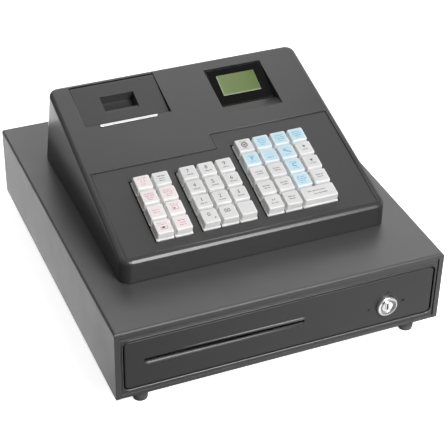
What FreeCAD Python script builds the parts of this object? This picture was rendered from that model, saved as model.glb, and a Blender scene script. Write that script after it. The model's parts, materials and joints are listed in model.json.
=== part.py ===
"""A small electronic cash register that stands on its own cash drawer, as separate pieces in one frame.

Millimetres, +X to the clerk's right, +Y to the back, +Z up. The origin is under the middle of the whole object,
on the surface that the rubber feet stand on. Pieces on the sloping deck are built flat, in the deck's own frame
(x across, y up the slope, z out of the deck), and their Placement then carries them onto the slope.
"""

import FreeCAD, Part
import math
import os
import re

import Sketcher
from FreeCAD import Placement, Rotation, Vector

SIZES = {
    # drawer housing, folded from steel sheet
    "body_width": 335,
    "body_bottom": 14,
    "body_top": 91.1,
    "front_y": -185,
    "back_y": 187.4,
    "steel": 1.2,
    "fold_radius": 2.5,
    "hem_width": 5,
    "hem_gap": 0.4,
    "frame_lip": 3.8,
    "frame_flange": 14,
    "line_rise": 2.6,
    "line_height": 0.6,
    "foot_radius": 8,
    "foot_taper": 1,
    "foot_screw_radius": 3.6,
    "foot_screw_depth": 5,
    "foot_inset_x": 27.5,
    "foot_inset_y": 12,
    # front opening and the drawer that slides in it
    "opening_width": 319,
    "opening_low": 22,
    "opening_high": 79,
    "opening_radius": 6,
    "panel_gap": 1.4,
    "panel_recess": 0.8,
    "panel_gauge": 1.6,
    "panel_return": 9,
    "slot_left": -139,
    "slot_right": 21,
    "slot_mid_z": 52,
    "slot_height": 5.2,
    "slot_bevel": 1.4,
    "panel_edge": 1,
    "tray_half_width": 153,
    "tray_low": 24,
    "tray_high": 66,
    "tray_back": 150,
    "runner_low": 45.4,
    "runner_high": 52.6,
    "runner_reach": 5.4,
    "runner_start": 4,
    "runner_end": 2,
    "tongue_depth": 20,
    "slide_gap": 0.5,
    "rail_half_width": 154.6,
    "rail_start": 12,
    "rail_wall": 3,
    # lock in the drawer front
    "lock_x": 109,
    "lock_z": 44.5,
    "lock_stand": 2.4,
    "bezel_radius": 11,
    "barrel_radius": 9.5,
    "plug_radius": 6.4,
    "running_gap": 0.05,
    "lock_length": 20,
    "dish_depth": 1.4,
    "dish_rim": 1.6,
    "dish_floor": 0.6,
    "plug_sink": 0.8,
    "keyway_half_width": 0.9,
    "keyway_half_height": 4,
    "keyway_depth": 7,
    "cam_half_width": 5,
    "cam_gap": 0.4,
    "cam_gauge": 1.8,
    "cam_reach": 17,
    # till insert
    "till_half_width": 150,
    "till_front": -150,
    "till_back": 146,
    "till_low": 25.4,
    "till_high": 62,
    "till_wall": 2,
    "cup_depth": 70,
    "bay_depth": 206,
    "clip_bar_back": 8,
    "clip_bar_rise": 3.4,
    "clip_bar_radius": 2,
    "clip_bar_inset": 6,
    "clip_reach": 54,
    "clip_half_width": 8,
    "clip_gauge": 1.6,
    "clip_roller_drop": 14,
    "clip_roller_radius": 4,
    "clip_roller_overhang": 4,
    # latch, solenoid and ejector behind the drawer
    "release_half_width": 30,
    "release_depth": 34,
    "release_gap": 2,
    "release_top": 62,
    "solenoid_left": 2,
    "solenoid_right": 26,
    "solenoid_depth": 24,
    "solenoid_top": 46,
    "plunger_radius": 4,
    "plunger_length": 12,
    "hook_left": 8,
    "hook_right": 20,
    "hook_low": 56,
    "hook_gauge": 2,
    "ejector_x": -16,
    "ejector_z": 38,
    "ejector_radius": 4,
    "ejector_gap": 0.5,
    "spring_radius": 7,
    "spring_start": 6,
    # register unit on the housing
    "case_half": 137.7,
    "case_front": -120.1,
    "case_back": 124.5,
    "case_base": 91.9,
    "case_corner": 10,
    "case_draft": 1.3,
    "case_wall": 2.6,
    "case_edge": 4,
    "base_wall": 2.4,
    "base_gap": 0.8,
    "deck_front_z": 114.8,
    "deck_back_y": 106.4,
    "deck_back_z": 178.7,
    "deck_angle": 15.75,
    # keyboard cover, inset in the deck; places along the slope start at the deck's front edge
    "inset_half": 129.6,
    "inset_front": 7,
    "inset_back_left": 112.9,
    "inset_back_right": 133,
    "inset_step_x": 2,
    "inset_gap": 0.4,
    "inset_sink": 0.4,
    "inset_gauge": 2,
    "ledge": 4,
    "ledge_lap": 3,
    "ledge_gauge": 2,
    "boss_radius": 2.5,
    # keys
    "key_pitch": 19.05,
    "key_gap": 1,
    "key_skirt": 2,
    "key_rise": 8.6,
    "key_top": 15,
    "key_wall": 1.3,
    "key_front": 18.2,
    "block_left_x": -96.1,
    "block_middle_x": -49,
    "block_right_x": 17.4,
    "well_gap": 1,
    "well_shadow": 0.6,
    "stem_side": 4,
    "stem_gap": 0.4,
    "stem_low": -12,
    "switch_side": 13.6,
    "switch_top": -6.4,
    "board_top": -16,
    "board_gauge": 1.6,
    "board_margin": 8,
    "board_front": 12,
    "board_back": 119,
    # base pan
    "rim_height": 8,
    "post_radius": 4,
    "post_inset": 16,
    "post_height": 12,
    "printer_post_inset": 5,
    # printer
    "lid_left": -114.6,
    "lid_right": -25,
    "lid_front": 173.8,
    "lid_gap": 0.6,
    "lid_drop": 3.7,
    "lid_gauge": 2.2,
    "hinge_slope": 227.4,
    "hinge_depth": 2.6,
    "hinge_barrel": 2.4,
    "hinge_pin": 1.3,
    "hinge_pin_reach": 4.5,
    "hinge_block_width": 6,
    "hinge_block_front": 5,
    "hinge_block_back": 3,
    "hinge_block_low": -8,
    "rest_overhang": 8,
    "rest_depth": 3,
    "rest_low": -9,
    "finger_lip_drop": 2.4,
    "finger_lip_gauge": 2,
    "finger_left": -88.3,
    "finger_right": -52.3,
    "finger_front": 190.4,
    "finger_back": 211.6,
    "tear_left": -100.7,
    "tear_right": -39.2,
    "tear_front": 171,
    "tear_back": 173.2,
    "tear_rise": 0.6,
    "printer_left": -104,
    "printer_right": -36,
    "printer_front_y": 46,
    "printer_back_y": 97,
    "printer_low": 104,
    "printer_wall": 2.4,
    "bucket_front_y": 63,
    "bucket_high": 146,
    "platen_y": 54.5,
    "platen_z": 145.5,
    "platen_radius": 5,
    "platen_shaft": 2,
    "platen_end_gap": 1,
    "platen_grind": 0.3,
    "gear_gap": 0.6,
    "gear_width": 3,
    "print_well_depth": 18,
    "print_head_gap": 4,
    "print_head_gauge": 2,
    "cheek_rise": 4,
    # power inlet in the back wall
    "inlet_x": -106,
    "inlet_low": 103,
    "inlet_side": 11,
    "inlet_bore": 3.2,
    "inlet_depth": 10,
    "inlet_length": 13,
    "inlet_recess": 3.4,
    "inlet_gap": 0.3,
    # display
    "window_left": 28.7,
    "window_right": 91.5,
    "window_front": 172.3,
    "window_back": 220.2,
    "window_sink": 7.6,
    "window_gauge": 2,
    "window_tilt": 9.02,
    "window_gap": 0.3,
    "ramp_front": 155.3,
    "tub_wall": 2.2,
    "lcd_left": 39.2,
    "lcd_right": 81,
    "lcd_front": 13.2,
    "lcd_back": 38.4,
    "lcd_gap": 0.3,
    "lcd_border": 3,
    "lcd_glass_low": -4,
    "lcd_glass_high": -0.5,
    "lcd_board_low": -6.2,
}

KEY_BLOCKS = {
    "left": {"x": "block_left_x", "columns": 2, "rows": 4},
    "middle": {"x": "block_middle_x", "columns": 3, "rows": 4},
    "right": {"x": "block_right_x", "columns": 4, "rows": 5},
}

doc = FreeCAD.newDocument("CashRegister")
sheet = doc.addObject("Spreadsheet::Sheet", "Sizes")
for line, (alias, value) in enumerate(SIZES.items(), 1):
    sheet.set(f"A{line}", alias)
    sheet.set(f"B{line}", str(value))
    sheet.setAlias(f"B{line}", alias)
doc.recompute()

nodes = []


# ---------------------------------------------------------------- helpers

def cells(text):
    """The text as an expression: each size's name is read from the sheet."""
    def in_sheet(word):
        return "Sizes." + word.group(0) if word.group(0) in SIZES else word.group(0)

    return re.sub(r"[a-z_]+", in_sheet, str(text))


def bind(thing, **sizes):
    """Tie properties to expressions; a double underscore in a name stands for a dot."""
    for name, text in sizes.items():
        thing.setExpression(name.replace("__", "."), cells(text))
    return thing


def place(thing, x=0, y=0, z=0):
    return bind(thing, Placement__Base__x=x, Placement__Base__y=y, Placement__Base__z=z)


def block(name, low, high):
    """A box from its lowest corner to its highest."""
    box = doc.addObject("Part::Box", name)
    spans = [f"({end}) - ({start})" for start, end in zip(low, high)]
    bind(box, Length=spans[0], Width=spans[1], Height=spans[2])
    return place(box, *low)


def rod(name, centre, radius, length, axis="z"):
    """A cylinder that starts at a centre and runs along an axis."""
    cylinder = doc.addObject("Part::Cylinder", name)
    bind(cylinder, Radius=radius, Height=length)
    turns = {"x": (Vector(0, 1, 0), 90), "y": (Vector(1, 0, 0), -90), "z": (Vector(0, 0, 1), 0)}
    cylinder.Placement.Rotation = Rotation(*turns[axis])
    return place(cylinder, *centre)


def fuse(name, *pieces):
    if len(pieces) == 1:
        return pieces[0]
    union = doc.addObject("Part::MultiFuse", name)
    union.Shapes = list(pieces)
    return union


def cut(name, base, *tools):
    result = doc.addObject("Part::Cut", name)
    result.Base = base
    result.Tool = fuse(name + "_tools", *tools)
    return result


def frustum(name, half_base_x, half_base_y, half_top_x, half_top_y, low, high):
    """A tapered block about the Z axis. The wedge grows along its own Y, so it is stood up."""
    wedge = doc.addObject("Part::Wedge", name)
    bind(wedge, Xmin=f"-({half_base_x})", Xmax=half_base_x, Zmin=f"-({half_base_y})", Zmax=half_base_y)
    bind(wedge, X2min=f"-({half_top_x})", X2max=half_top_x, Z2min=f"-({half_top_y})", Z2max=half_top_y)
    bind(wedge, Ymin=low, Ymax=high)
    wedge.Placement.Rotation = Rotation(Vector(1, 0, 0), 90)
    return wedge


def tilt(thing, x=0, slope=0, out=0, extra=0):
    """Carry a piece built flat onto the deck, at x across, slope up the deck and out of it."""
    thing.Placement.Rotation = Rotation(Vector(1, 0, 0), SIZES["deck_angle"])
    bind(thing, Placement__Rotation__Angle=f"deck_angle + {extra}")
    return place(
        thing,
        x,
        f"case_front + ({slope}) * cos(deck_angle) - ({out}) * sin(deck_angle)",
        f"deck_front_z + ({slope}) * sin(deck_angle) + ({out}) * cos(deck_angle)",
    )


def node(label, thing):
    thing.Label = label
    nodes.append(thing)
    return thing


def body(name):
    return doc.addObject("PartDesign::Body", name)


def outline(owner, name, plane, points, offset=0):
    """A sketch of a closed outline whose every corner is tied to the sizes."""
    sketch = owner.newObject("Sketcher::SketchObject", name)
    support = next(item for item in owner.Origin.OriginFeatures if item.Role == plane)
    sketch.AttachmentSupport = [(support, "")]
    sketch.MapMode = "FlatFace"
    bind(sketch, AttachmentOffset__Base__z=offset)
    count = len(points)
    turn = 2 * math.pi / count
    starts = [Vector(math.cos(turn * i), math.sin(turn * i), 0) * 10 for i in range(count)]
    for i, start in enumerate(starts):
        sketch.addGeometry(Part.LineSegment(start, starts[(i + 1) % count]))
    for i in range(count):
        sketch.addConstraint(Sketcher.Constraint("Coincident", i, 2, (i + 1) % count, 1))
    for i, point in enumerate(points):
        for kind, guess, text in zip(("DistanceX", "DistanceY"), starts[i], point):
            constraint = sketch.addConstraint(Sketcher.Constraint(kind, -1, 1, i, 1, guess))
            sketch.renameConstraint(constraint, f"{kind}{i}")
            sketch.setExpression(f".Constraints.{kind}{i}", cells(text))
    return sketch


def rectangle(low, high):
    return [low, (high[0], low[1]), high, (low[0], high[1])]


def grow(owner, kind, name, sketch, length):
    """A Pad or a Pocket that runs from its sketch along the plane's own normal."""
    feature = owner.newObject("PartDesign::" + kind, name)
    feature.Profile = sketch
    if kind == "Pocket":
        feature.Reversed = True
    bind(feature, Length=length)
    doc.recompute()
    return feature


def round_edges(owner, name, base, radius, chosen):
    """Fillet the base feature's edges that a test chooses."""
    doc.recompute()
    names = [f"Edge{i}" for i, edge in enumerate(base.Shape.Edges, 1) if chosen(edge)]
    fillet = owner.newObject("PartDesign::Fillet", name)
    fillet.Base = (base, names)
    bind(fillet, Radius=radius)
    doc.recompute()
    return fillet


def runs_along(edge, axis):
    """True for a straight edge parallel to an axis."""
    if edge.Curve.TypeId != "Part::GeomLine":
        return False
    return abs(abs(edge.Curve.Direction.dot(axis)) - 1) < 1e-6


def middle(edge):
    return edge.valueAt((edge.FirstParameter + edge.LastParameter) / 2)


# ---------------------------------------------------------------- drawer housing

def housing_cover():
    """Folded steel top, sides and back, with a narrow hem turned in round the front."""
    steel_box = body("housing_cover")
    low = ("-body_width / 2", "body_bottom")
    high = ("body_width / 2", "body_top")
    section = outline(steel_box, "cover_section", "XZ_Plane", rectangle(low, high), "-back_y")
    shell = grow(steel_box, "Pad", "cover_block", section, "back_y - front_y")
    half = SIZES["body_width"] / 2
    top = SIZES["body_top"]

    def folded(edge):
        point = middle(edge)
        along_top = runs_along(edge, Vector(0, 1, 0)) and point.z > top - 1
        across_top = runs_along(edge, Vector(1, 0, 0)) and point.z > top - 1
        up_the_back = runs_along(edge, Vector(0, 0, 1)) and point.y > 0 and abs(point.x) > half - 1
        return along_top or across_top or up_the_back

    round_edges(steel_box, "cover_folds", shell, "fold_radius", folded)
    inside_low = ("-body_width / 2 + steel", "body_bottom - 1")
    inside_high = ("body_width / 2 - steel", "body_top - steel")
    inside = outline(steel_box, "cover_inside", "XZ_Plane", rectangle(inside_low, inside_high), "steel - back_y")
    grow(steel_box, "Pocket", "cover_hollow", inside, "back_y - front_y - 2 * steel")
    mouth_low = ("-body_width / 2 + hem_width", "body_bottom - 1")
    mouth_high = ("body_width / 2 - hem_width", "body_top - hem_width")
    mouth = outline(steel_box, "cover_mouth", "XZ_Plane", rectangle(mouth_low, mouth_high), "-front_y - 2 * steel")
    steel_box.Tip = grow(steel_box, "Pocket", "cover_front", mouth, "3 * steel")
    return node("housing_cover", steel_box)


def housing_chassis():
    """Floor pan with side flanges, the front frame round the drawer opening and the two drawer rails."""
    side = "body_width / 2 - steel - hem_gap"
    frame_side = "body_width / 2 - hem_width - hem_gap"
    back = "back_y - steel - hem_gap"
    frame_back = "front_y + 2 * steel"
    pan = [
        block("pan_floor", (f"-({frame_side})", "front_y + steel", "body_bottom"),
              (frame_side, back, "body_bottom + steel")),
        block("pan_left", (f"-({side})", "front_y + 2 * steel", "body_bottom"),
              (f"steel - ({side})", back, "body_top - 4 * steel")),
        block("pan_right", (f"{side} - steel", "front_y + 2 * steel", "body_bottom"),
              (side, back, "body_top - 4 * steel")),
        block("pan_left_edge", (f"-({side})", "front_y + 2 * steel", "body_bottom"),
              (f"-({frame_side})", back, "body_bottom + steel")),
        block("pan_right_edge", (frame_side, "front_y + 2 * steel", "body_bottom"),
              (side, back, "body_bottom + steel")),
    ]
    frame_top = "body_top - hem_width - hem_gap"
    frame = block("frame_plate", (f"-({frame_side})", "front_y + steel", "body_bottom"),
                  (frame_side, frame_back, frame_top))
    flange = block("frame_flange", (f"-({frame_side})", "front_y + steel", f"{frame_top} - steel"),
                   (frame_side, "front_y + frame_flange", frame_top))
    rails = []
    grooves = []
    rail_side = f"({side} - steel)"
    groove_reach = "(tray_half_width + runner_reach + slide_gap)"
    spans = {
        "left": (f"-{rail_side}", "-rail_half_width", f"-{groove_reach}", "0"),
        "right": ("rail_half_width", rail_side, "0", groove_reach),
    }
    groove_low = "runner_low - slide_gap"
    groove_high = "runner_high + slide_gap"
    for name, (rail_left, rail_right, groove_left, groove_right) in spans.items():
        rails.append(block(f"rail_{name}", (rail_left, "front_y + rail_start", f"{groove_low} - rail_wall"),
                           (rail_right, "tray_back", f"{groove_high} + rail_wall")))
        grooves.append(block(f"rail_groove_{name}", (groove_left, "front_y + rail_start / 2", groove_low),
                             (groove_right, "tray_back + 1", groove_high)))
    opening = drawer_opening("frame_opening", "0", "front_y", "front_y + 5 * steel")
    lip = block("frame_lip", (f"-({frame_side})", "front_y + 0.2", "body_bottom"),
                (frame_side, "front_y + 1.5 * steel", "body_bottom + frame_lip"))
    frame_line = block("frame_line", ("-body_width / 2", "front_y", "opening_high + line_rise"),
                       ("body_width / 2", "front_y + 1.25 * steel", "opening_high + line_rise + line_height"))
    solid = fuse("chassis_solid", *pan, frame, flange, lip, *rails)
    return node("housing_chassis", cut("housing_chassis", solid, opening, *grooves, frame_line))


def drawer_opening(name, gap, low_y, high_y, soft_edge=None):
    """A rounded prism as wide and high as the front opening, less a gap all round, with a soft front edge or not."""
    prism = body(name)
    low = (f"-opening_width / 2 + {gap}", f"opening_low + {gap}")
    high = (f"opening_width / 2 - {gap}", f"opening_high - {gap}")
    section = outline(prism, name + "_section", "XZ_Plane", rectangle(low, high), f"-({high_y})")
    pad = grow(prism, "Pad", name + "_pad", section, f"({high_y}) - ({low_y})")
    corners = round_edges(prism, name + "_corners", pad, f"opening_radius - {gap}",
                          lambda edge: runs_along(edge, Vector(0, 1, 0)))
    prism.Tip = corners
    if soft_edge:
        front = corners.Shape.BoundBox.YMin + 0.01
        prism.Tip = round_edges(prism, name + "_soft", corners, soft_edge,
                                lambda edge: edge.BoundBox.YMax < front)
    return prism


def rubber_feet():
    """Four moulded feet, each a cone frustum with a countersunk middle for its screw."""
    feet = []
    for x in ("foot_inset_x - body_width / 2", "body_width / 2 - foot_inset_x"):
        for y in ("front_y + foot_inset_y", "back_y - foot_inset_y"):
            index = len(feet)
            cone = doc.addObject("Part::Cone", f"foot_{index}")
            bind(cone, Radius1="foot_radius - foot_taper", Radius2="foot_radius", Height="body_bottom")
            place(cone, x, y)
            sink = rod(f"foot_sink_{index}", (x, y, "-1"), "foot_screw_radius", "foot_screw_depth + 1")
            feet.append(cut(f"foot_cut_{index}", cone, sink))
    return node("rubber_feet", fuse("rubber_feet", *feet))


# ---------------------------------------------------------------- cash drawer

def drawer_front():
    """Front panel with returned edges, a media slot and the hole for the lock."""
    outer = drawer_opening("panel_outer", "panel_gap", "front_y + panel_recess",
                           "front_y + panel_recess + panel_return", "panel_edge")
    inner = block("panel_inner",
                  ("-opening_width / 2 + panel_gap + panel_gauge", "front_y + panel_recess + panel_gauge",
                   "opening_low + panel_gap + panel_gauge"),
                  ("opening_width / 2 - panel_gap - panel_gauge", "front_y + panel_recess + panel_return + 1",
                   "opening_high - panel_gap - panel_gauge"))
    slot = body("media_slot")
    slot_low = "slot_mid_z - slot_height / 2"
    slot_view = [
        ("front_y - 1", f"{slot_low} - slot_bevel"),
        ("front_y + panel_recess + panel_gauge / 2", f"{slot_low} - slot_bevel / 4"),
        ("front_y + panel_recess + panel_gauge / 2", slot_low),
        ("front_y + 8", slot_low),
        ("front_y + 8", "slot_mid_z + slot_height / 2"),
        ("front_y - 1", "slot_mid_z + slot_height / 2"),
    ]
    section = outline(slot, "slot_view", "YZ_Plane", slot_view, "slot_left")
    slot.Tip = grow(slot, "Pad", "slot_pad", section, "slot_right - slot_left")
    hole = rod("lock_hole", ("lock_x", "front_y", "lock_z"), "barrel_radius + running_gap", "panel_return / 2", "y")
    return node("drawer_front", cut("drawer_front", outer, inner, slot, hole))


def drawer_tray():
    """Open steel tray behind the front panel, with a runner along each side."""
    front = "front_y + panel_recess + panel_return"
    outer = block("tray_outer", ("-tray_half_width", front, "tray_low"),
                  ("tray_half_width", "tray_back", "tray_high"))
    inner = block("tray_inner", ("steel - tray_half_width", f"{front} - 1", "tray_low + steel"),
                  ("tray_half_width - steel", "tray_back - steel", "tray_high + 1"))
    tongue = block("tray_tongue", ("steel - tray_half_width", "front_y + panel_recess + panel_gauge",
                                   "opening_low + panel_gap + panel_gauge"),
                   ("tray_half_width - steel", f"{front} + tongue_depth", "tray_low + steel"))
    runners = [
        block("runner_left", ("-tray_half_width - runner_reach", f"{front} + runner_start", "runner_low"),
              ("steel - tray_half_width", "tray_back - runner_end", "runner_high")),
        block("runner_right", ("tray_half_width - steel", f"{front} + runner_start", "runner_low"),
              ("tray_half_width + runner_reach", "tray_back - runner_end", "runner_high")),
    ]
    pan = cut("tray_pan", outer, inner)
    return node("drawer_tray", fuse("drawer_tray", pan, tongue, *runners))


def till_insert():
    """Moulded insert: four bill bays at the back and five coin cups at the front."""
    tray = block("till_outer", ("-till_half_width", "till_front", "till_low"),
                 ("till_half_width", "till_back", "till_high"))
    cup_front = "till_front + till_wall"
    bay_back = "till_back - till_wall"
    rows = {
        "coin_cup": (5, cup_front, f"{cup_front} + cup_depth"),
        "bill_bay": (4, f"{bay_back} - bay_depth", bay_back),
    }
    tools = []
    for name, (count, front, back) in rows.items():
        pitch = f"(2 * till_half_width - till_wall) / {count}"
        for index in range(count):
            left = f"till_wall - till_half_width + {index} * {pitch}"
            tools.append(block(f"{name}_{index}", (left, front, "till_low + till_wall"),
                               (f"{left} + {pitch} - till_wall", back, "till_high + 1")))
    return node("till_insert", cut("till_insert", tray, *tools))


def bill_clips():
    """Four hold-down arms on one cross rod behind the bill bays, each with a roller that presses on the bills."""
    bay_pitch = "(2 * till_half_width - till_wall) / 4"
    bar_y = "till_back - clip_bar_back"
    bar_z = "till_high + clip_bar_rise"
    tip = f"{bar_y} - clip_reach"
    roller_z = f"{bar_z} - clip_roller_drop"
    pieces = [rod("clip_bar", ("clip_bar_inset - till_half_width", bar_y, bar_z), "clip_bar_radius",
                  "2 * (till_half_width - clip_bar_inset)", "x")]
    for index in range(4):
        middle_x = f"till_wall / 2 - till_half_width + ({index} + 0.5) * {bay_pitch}"
        left = f"{middle_x} - clip_half_width"
        right = f"{middle_x} + clip_half_width"
        pieces.append(block(f"clip_arm_{index}", (left, tip, f"{bar_z} - clip_gauge / 2"),
                            (right, bar_y, f"{bar_z} + clip_gauge / 2")))
        pieces.append(block(f"clip_toe_{index}", (left, tip, roller_z), (right, f"{tip} + clip_gauge", bar_z)))
        roller_start = (f"{left} - clip_roller_overhang", f"{tip} + clip_gauge / 2", roller_z)
        pieces.append(rod(f"clip_roller_{index}", roller_start, "clip_roller_radius",
                          "2 * (clip_half_width + clip_roller_overhang)", "x"))
    return node("bill_clips", fuse("bill_clips", *pieces))


def lock():
    """Chromed lock barrel fixed in the drawer front, and the plug that the drawer key turns."""
    face = "front_y - lock_stand"
    barrel_bore = "plug_radius + running_gap"
    bezel = rod("lock_bezel", ("lock_x", face, "lock_z"), "bezel_radius", "lock_stand + panel_recess", "y")
    barrel = rod("lock_body", ("lock_x", face, "lock_z"), "barrel_radius", "lock_length", "y")
    bore = rod("lock_bore", ("lock_x", f"{face} - 1", "lock_z"), barrel_bore, "lock_length + 2", "y")
    dish = doc.addObject("Part::Cone", "lock_dish")
    bind(dish, Radius1="bezel_radius - dish_rim", Radius2="plug_radius + dish_floor", Height="dish_depth")
    dish.Placement.Rotation = Rotation(Vector(1, 0, 0), -90)
    place(dish, "lock_x", face, "lock_z")
    node("lock_barrel", cut("lock_barrel", fuse("lock_shell", bezel, barrel), bore, dish))

    plug = rod("plug_core", ("lock_x", f"{face} + plug_sink", "lock_z"), "plug_radius", "lock_length + 1", "y")
    keyway = block("keyway", ("lock_x - keyway_half_width", f"{face} - 1", "lock_z - keyway_half_height"),
                   ("lock_x + keyway_half_width", f"{face} + keyway_depth", "lock_z + keyway_half_height"))
    cam_front = f"{face} + lock_length + cam_gap"
    cam = block("lock_cam", ("lock_x - cam_half_width", cam_front, "lock_z - cam_reach"),
                ("lock_x + cam_half_width", f"{cam_front} + cam_gauge", "lock_z + cam_half_width"))
    return node("lock_plug", fuse("lock_plug", cut("plug_cut", plug, keyway), cam))


def drawer_release():
    """Solenoid, latch hook and sprung ejector on a bracket at the back of the housing."""
    back = "(back_y - steel - hem_gap - release_gap)"
    floor = "body_bottom + steel"
    solenoid_middle = "(solenoid_left + solenoid_right) / 2"
    bracket = block("release_bracket", ("-release_half_width", f"{back} - release_depth + release_gap", floor),
                    ("release_half_width", back, f"{floor} + 2 * steel"))
    riser = block("release_riser", ("-release_half_width", f"{back} - steel", floor),
                  ("release_half_width", back, "release_top"))
    solenoid_back = f"{back} - 2 * release_gap"
    solenoid = block("solenoid", ("solenoid_left", f"{solenoid_back} - solenoid_depth", f"{floor} + 2 * steel"),
                     ("solenoid_right", solenoid_back, "solenoid_top"))
    plunger_low = (solenoid_middle, f"{solenoid_back} - solenoid_depth / 2", "solenoid_top - 1")
    plunger = rod("solenoid_plunger", plunger_low, "plunger_radius", "plunger_length")
    hook_arm = block("latch_arm", ("hook_left", f"{back} - release_depth + 2 * release_gap", "hook_low"),
                     ("hook_right", f"{back} - steel / 2", "hook_low + hook_gauge"))
    rod_start = "tray_back + ejector_gap"
    spring_end = f"{back} - spring_radius"
    ejector = rod("ejector_rod", ("ejector_x", rod_start, "ejector_z"), "ejector_radius",
                  f"{back} - steel / 2 - ({rod_start})", "y")
    spring = rod("ejector_spring", ("ejector_x", "tray_back + spring_start", "ejector_z"), "spring_radius",
                 f"{spring_end} - tray_back - spring_start", "y")
    return node("drawer_release",
                fuse("drawer_release", bracket, riser, solenoid, plunger, hook_arm, ejector, spring))


# ---------------------------------------------------------------- register case

def case_shell():
    """The case's hollow outer form: a wedge in side view with drafted sides and rounded edges."""
    case = body("case_shell")
    side_view = [
        ("case_front", "case_base"),
        ("case_back", "case_base"),
        ("deck_back_y", "deck_back_z"),
        ("case_front", "deck_front_z"),
    ]
    section = outline(case, "case_side_view", "YZ_Plane", side_view, "-case_half")
    wedge = grow(case, "Pad", "case_wedge", section, "2 * case_half")
    base = SIZES["case_base"]
    faces = list(enumerate(wedge.Shape.Faces, 1))
    sides = [f"Face{i}" for i, face in faces if abs(face.normalAt(0, 0).x) > 0.99]
    draft = case.newObject("PartDesign::Draft", "case_draft_sides")
    draft.Base = (wedge, sides)
    draft.NeutralPlane = (wedge, [f"Face{i}" for i, face in faces if face.BoundBox.ZMax < base + 0.1])
    bind(draft, Angle="case_draft")
    doc.recompute()
    half = SIZES["case_half"]
    corners = round_edges(case, "case_corners", draft, "case_corner",
                          lambda edge: abs(middle(edge).x) > half - 4 and edge.BoundBox.ZLength > 15
                          and edge.BoundBox.YLength < 25)
    base_z = SIZES["case_base"] + 0.1
    deck = max(corners.Shape.Faces, key=lambda face: face.normalAt(0, 0).z * (face.Area > 20000))
    deck_edges = [edge.hashCode() for edge in deck.Edges]
    rim = round_edges(case, "case_rim", corners, "case_edge", lambda edge: edge.hashCode() in deck_edges)
    hollow = case.newObject("PartDesign::Thickness", "case_hollow")
    hollow.Base = (rim, [f"Face{i}" for i, face in enumerate(rim.Shape.Faces, 1) if face.BoundBox.ZMax < base_z])
    hollow.Reversed = True
    bind(hollow, Value="case_wall")
    case.Tip = hollow
    doc.recompute()
    return case


def inset_area(name, shrink, low, high):
    """The keyboard cover's stepped outline, shrunk all round, as a prism from low to high above the deck."""
    main = block(name + "_main", (f"{shrink} - inset_half", f"inset_front + {shrink}", low),
                 (f"inset_half - ({shrink})", f"inset_back_left - ({shrink})", high))
    step = block(name + "_step", (f"inset_step_x + {shrink}", f"inset_front + {shrink}", low),
                 (f"inset_half - ({shrink})", f"inset_back_right - ({shrink})", high))
    return fuse(name, main, step)


def display_tub(name, grow_by, top):
    """A prism whose side view is the display's recess: a short ramp down, then the window's slope up."""
    tub = body(name)
    section_points = [
        (f"ramp_front - 3 * ({grow_by})", top),
        (f"ramp_front - 3 * ({grow_by})", f"0 - ({grow_by})"),
        ("window_front", f"-window_sink - window_gauge - ({grow_by})"),
        (f"window_back + window_gap + {grow_by}", f"-window_gauge - ({grow_by})"),
        (f"window_back + window_gap + {grow_by}", top),
    ]
    section = outline(tub, name + "_section", "YZ_Plane", section_points, f"window_left - window_gap - ({grow_by})")
    tub.Tip = grow(tub, "Pad", name + "_pad", section,
                   f"window_right - window_left + 2 * window_gap + 2 * ({grow_by})")
    return tub


def upper_cover():
    """Case shell with the keyboard's opening and ledge, the printer's opening and the display's recess."""
    ledge_top = "-inset_sink - inset_gauge"
    ledge = cut("inset_ledge", inset_area("ledge_outer", "-ledge_lap", f"{ledge_top} - ledge_gauge", ledge_top),
                inset_area("ledge_inner", "ledge", "-10", "0"))
    lid_back = "hinge_slope + hinge_barrel + lid_gap"
    block_sides = {
        "left": ("lid_left - lid_gap - hinge_block_width", "lid_left - lid_gap"),
        "right": ("lid_right + lid_gap", "lid_right + lid_gap + hinge_block_width"),
    }
    hinge_blocks = [
        block(f"hinge_block_{name}", (left, "hinge_slope - hinge_block_front", "hinge_block_low"),
              (right, "hinge_slope + hinge_block_back", "-case_wall / 2"))
        for name, (left, right) in block_sides.items()
    ]
    rest = block("lid_rest", ("tear_left - rest_overhang", "tear_front - rest_depth", "rest_low"),
                 ("tear_right + rest_overhang", "tear_back", "-case_wall / 2"))
    added = tilt(fuse("deck_added", ledge, *hinge_blocks, rest, display_tub("tub_outer", "tub_wall", "-1")))
    openings = [
        inset_area("inset_opening", "-inset_gap", "-inset_sink - inset_gauge", "20"),
        inset_area("inset_window", "ledge", "-10", "20"),
        block("lid_opening", ("lid_left - lid_gap", "tear_back", "-case_wall - 8"),
              ("lid_right + lid_gap", lid_back, "20")),
        block("tear_pocket", ("tear_left - 0.2", "tear_front", "-case_wall - 1"),
              ("tear_right + 0.2", "tear_back + 1", "20")),
        rod("hinge_bore", ("lid_left - hinge_pin_reach - lid_gap", "hinge_slope", "-hinge_depth"),
            "hinge_pin + running_gap", "lid_right - lid_left + 2 * (hinge_pin_reach + lid_gap)", "x"),
        display_recess(),
        lcd_opening(),
    ]
    hole_reach = "(inlet_side / 2 + inlet_gap)"
    inlet_hole = block("inlet_hole", (f"inlet_x - {hole_reach}", "case_back - inlet_length - inlet_recess",
                                      "inlet_low - inlet_gap"),
                       (f"inlet_x + {hole_reach}", "case_back + 1", "inlet_low + inlet_side + inlet_gap"))
    shell = fuse("case_with_added", case_shell(), added)
    return node("upper_cover", cut("upper_cover", shell, tilt(fuse("deck_openings", *openings)), inlet_hole))


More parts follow.
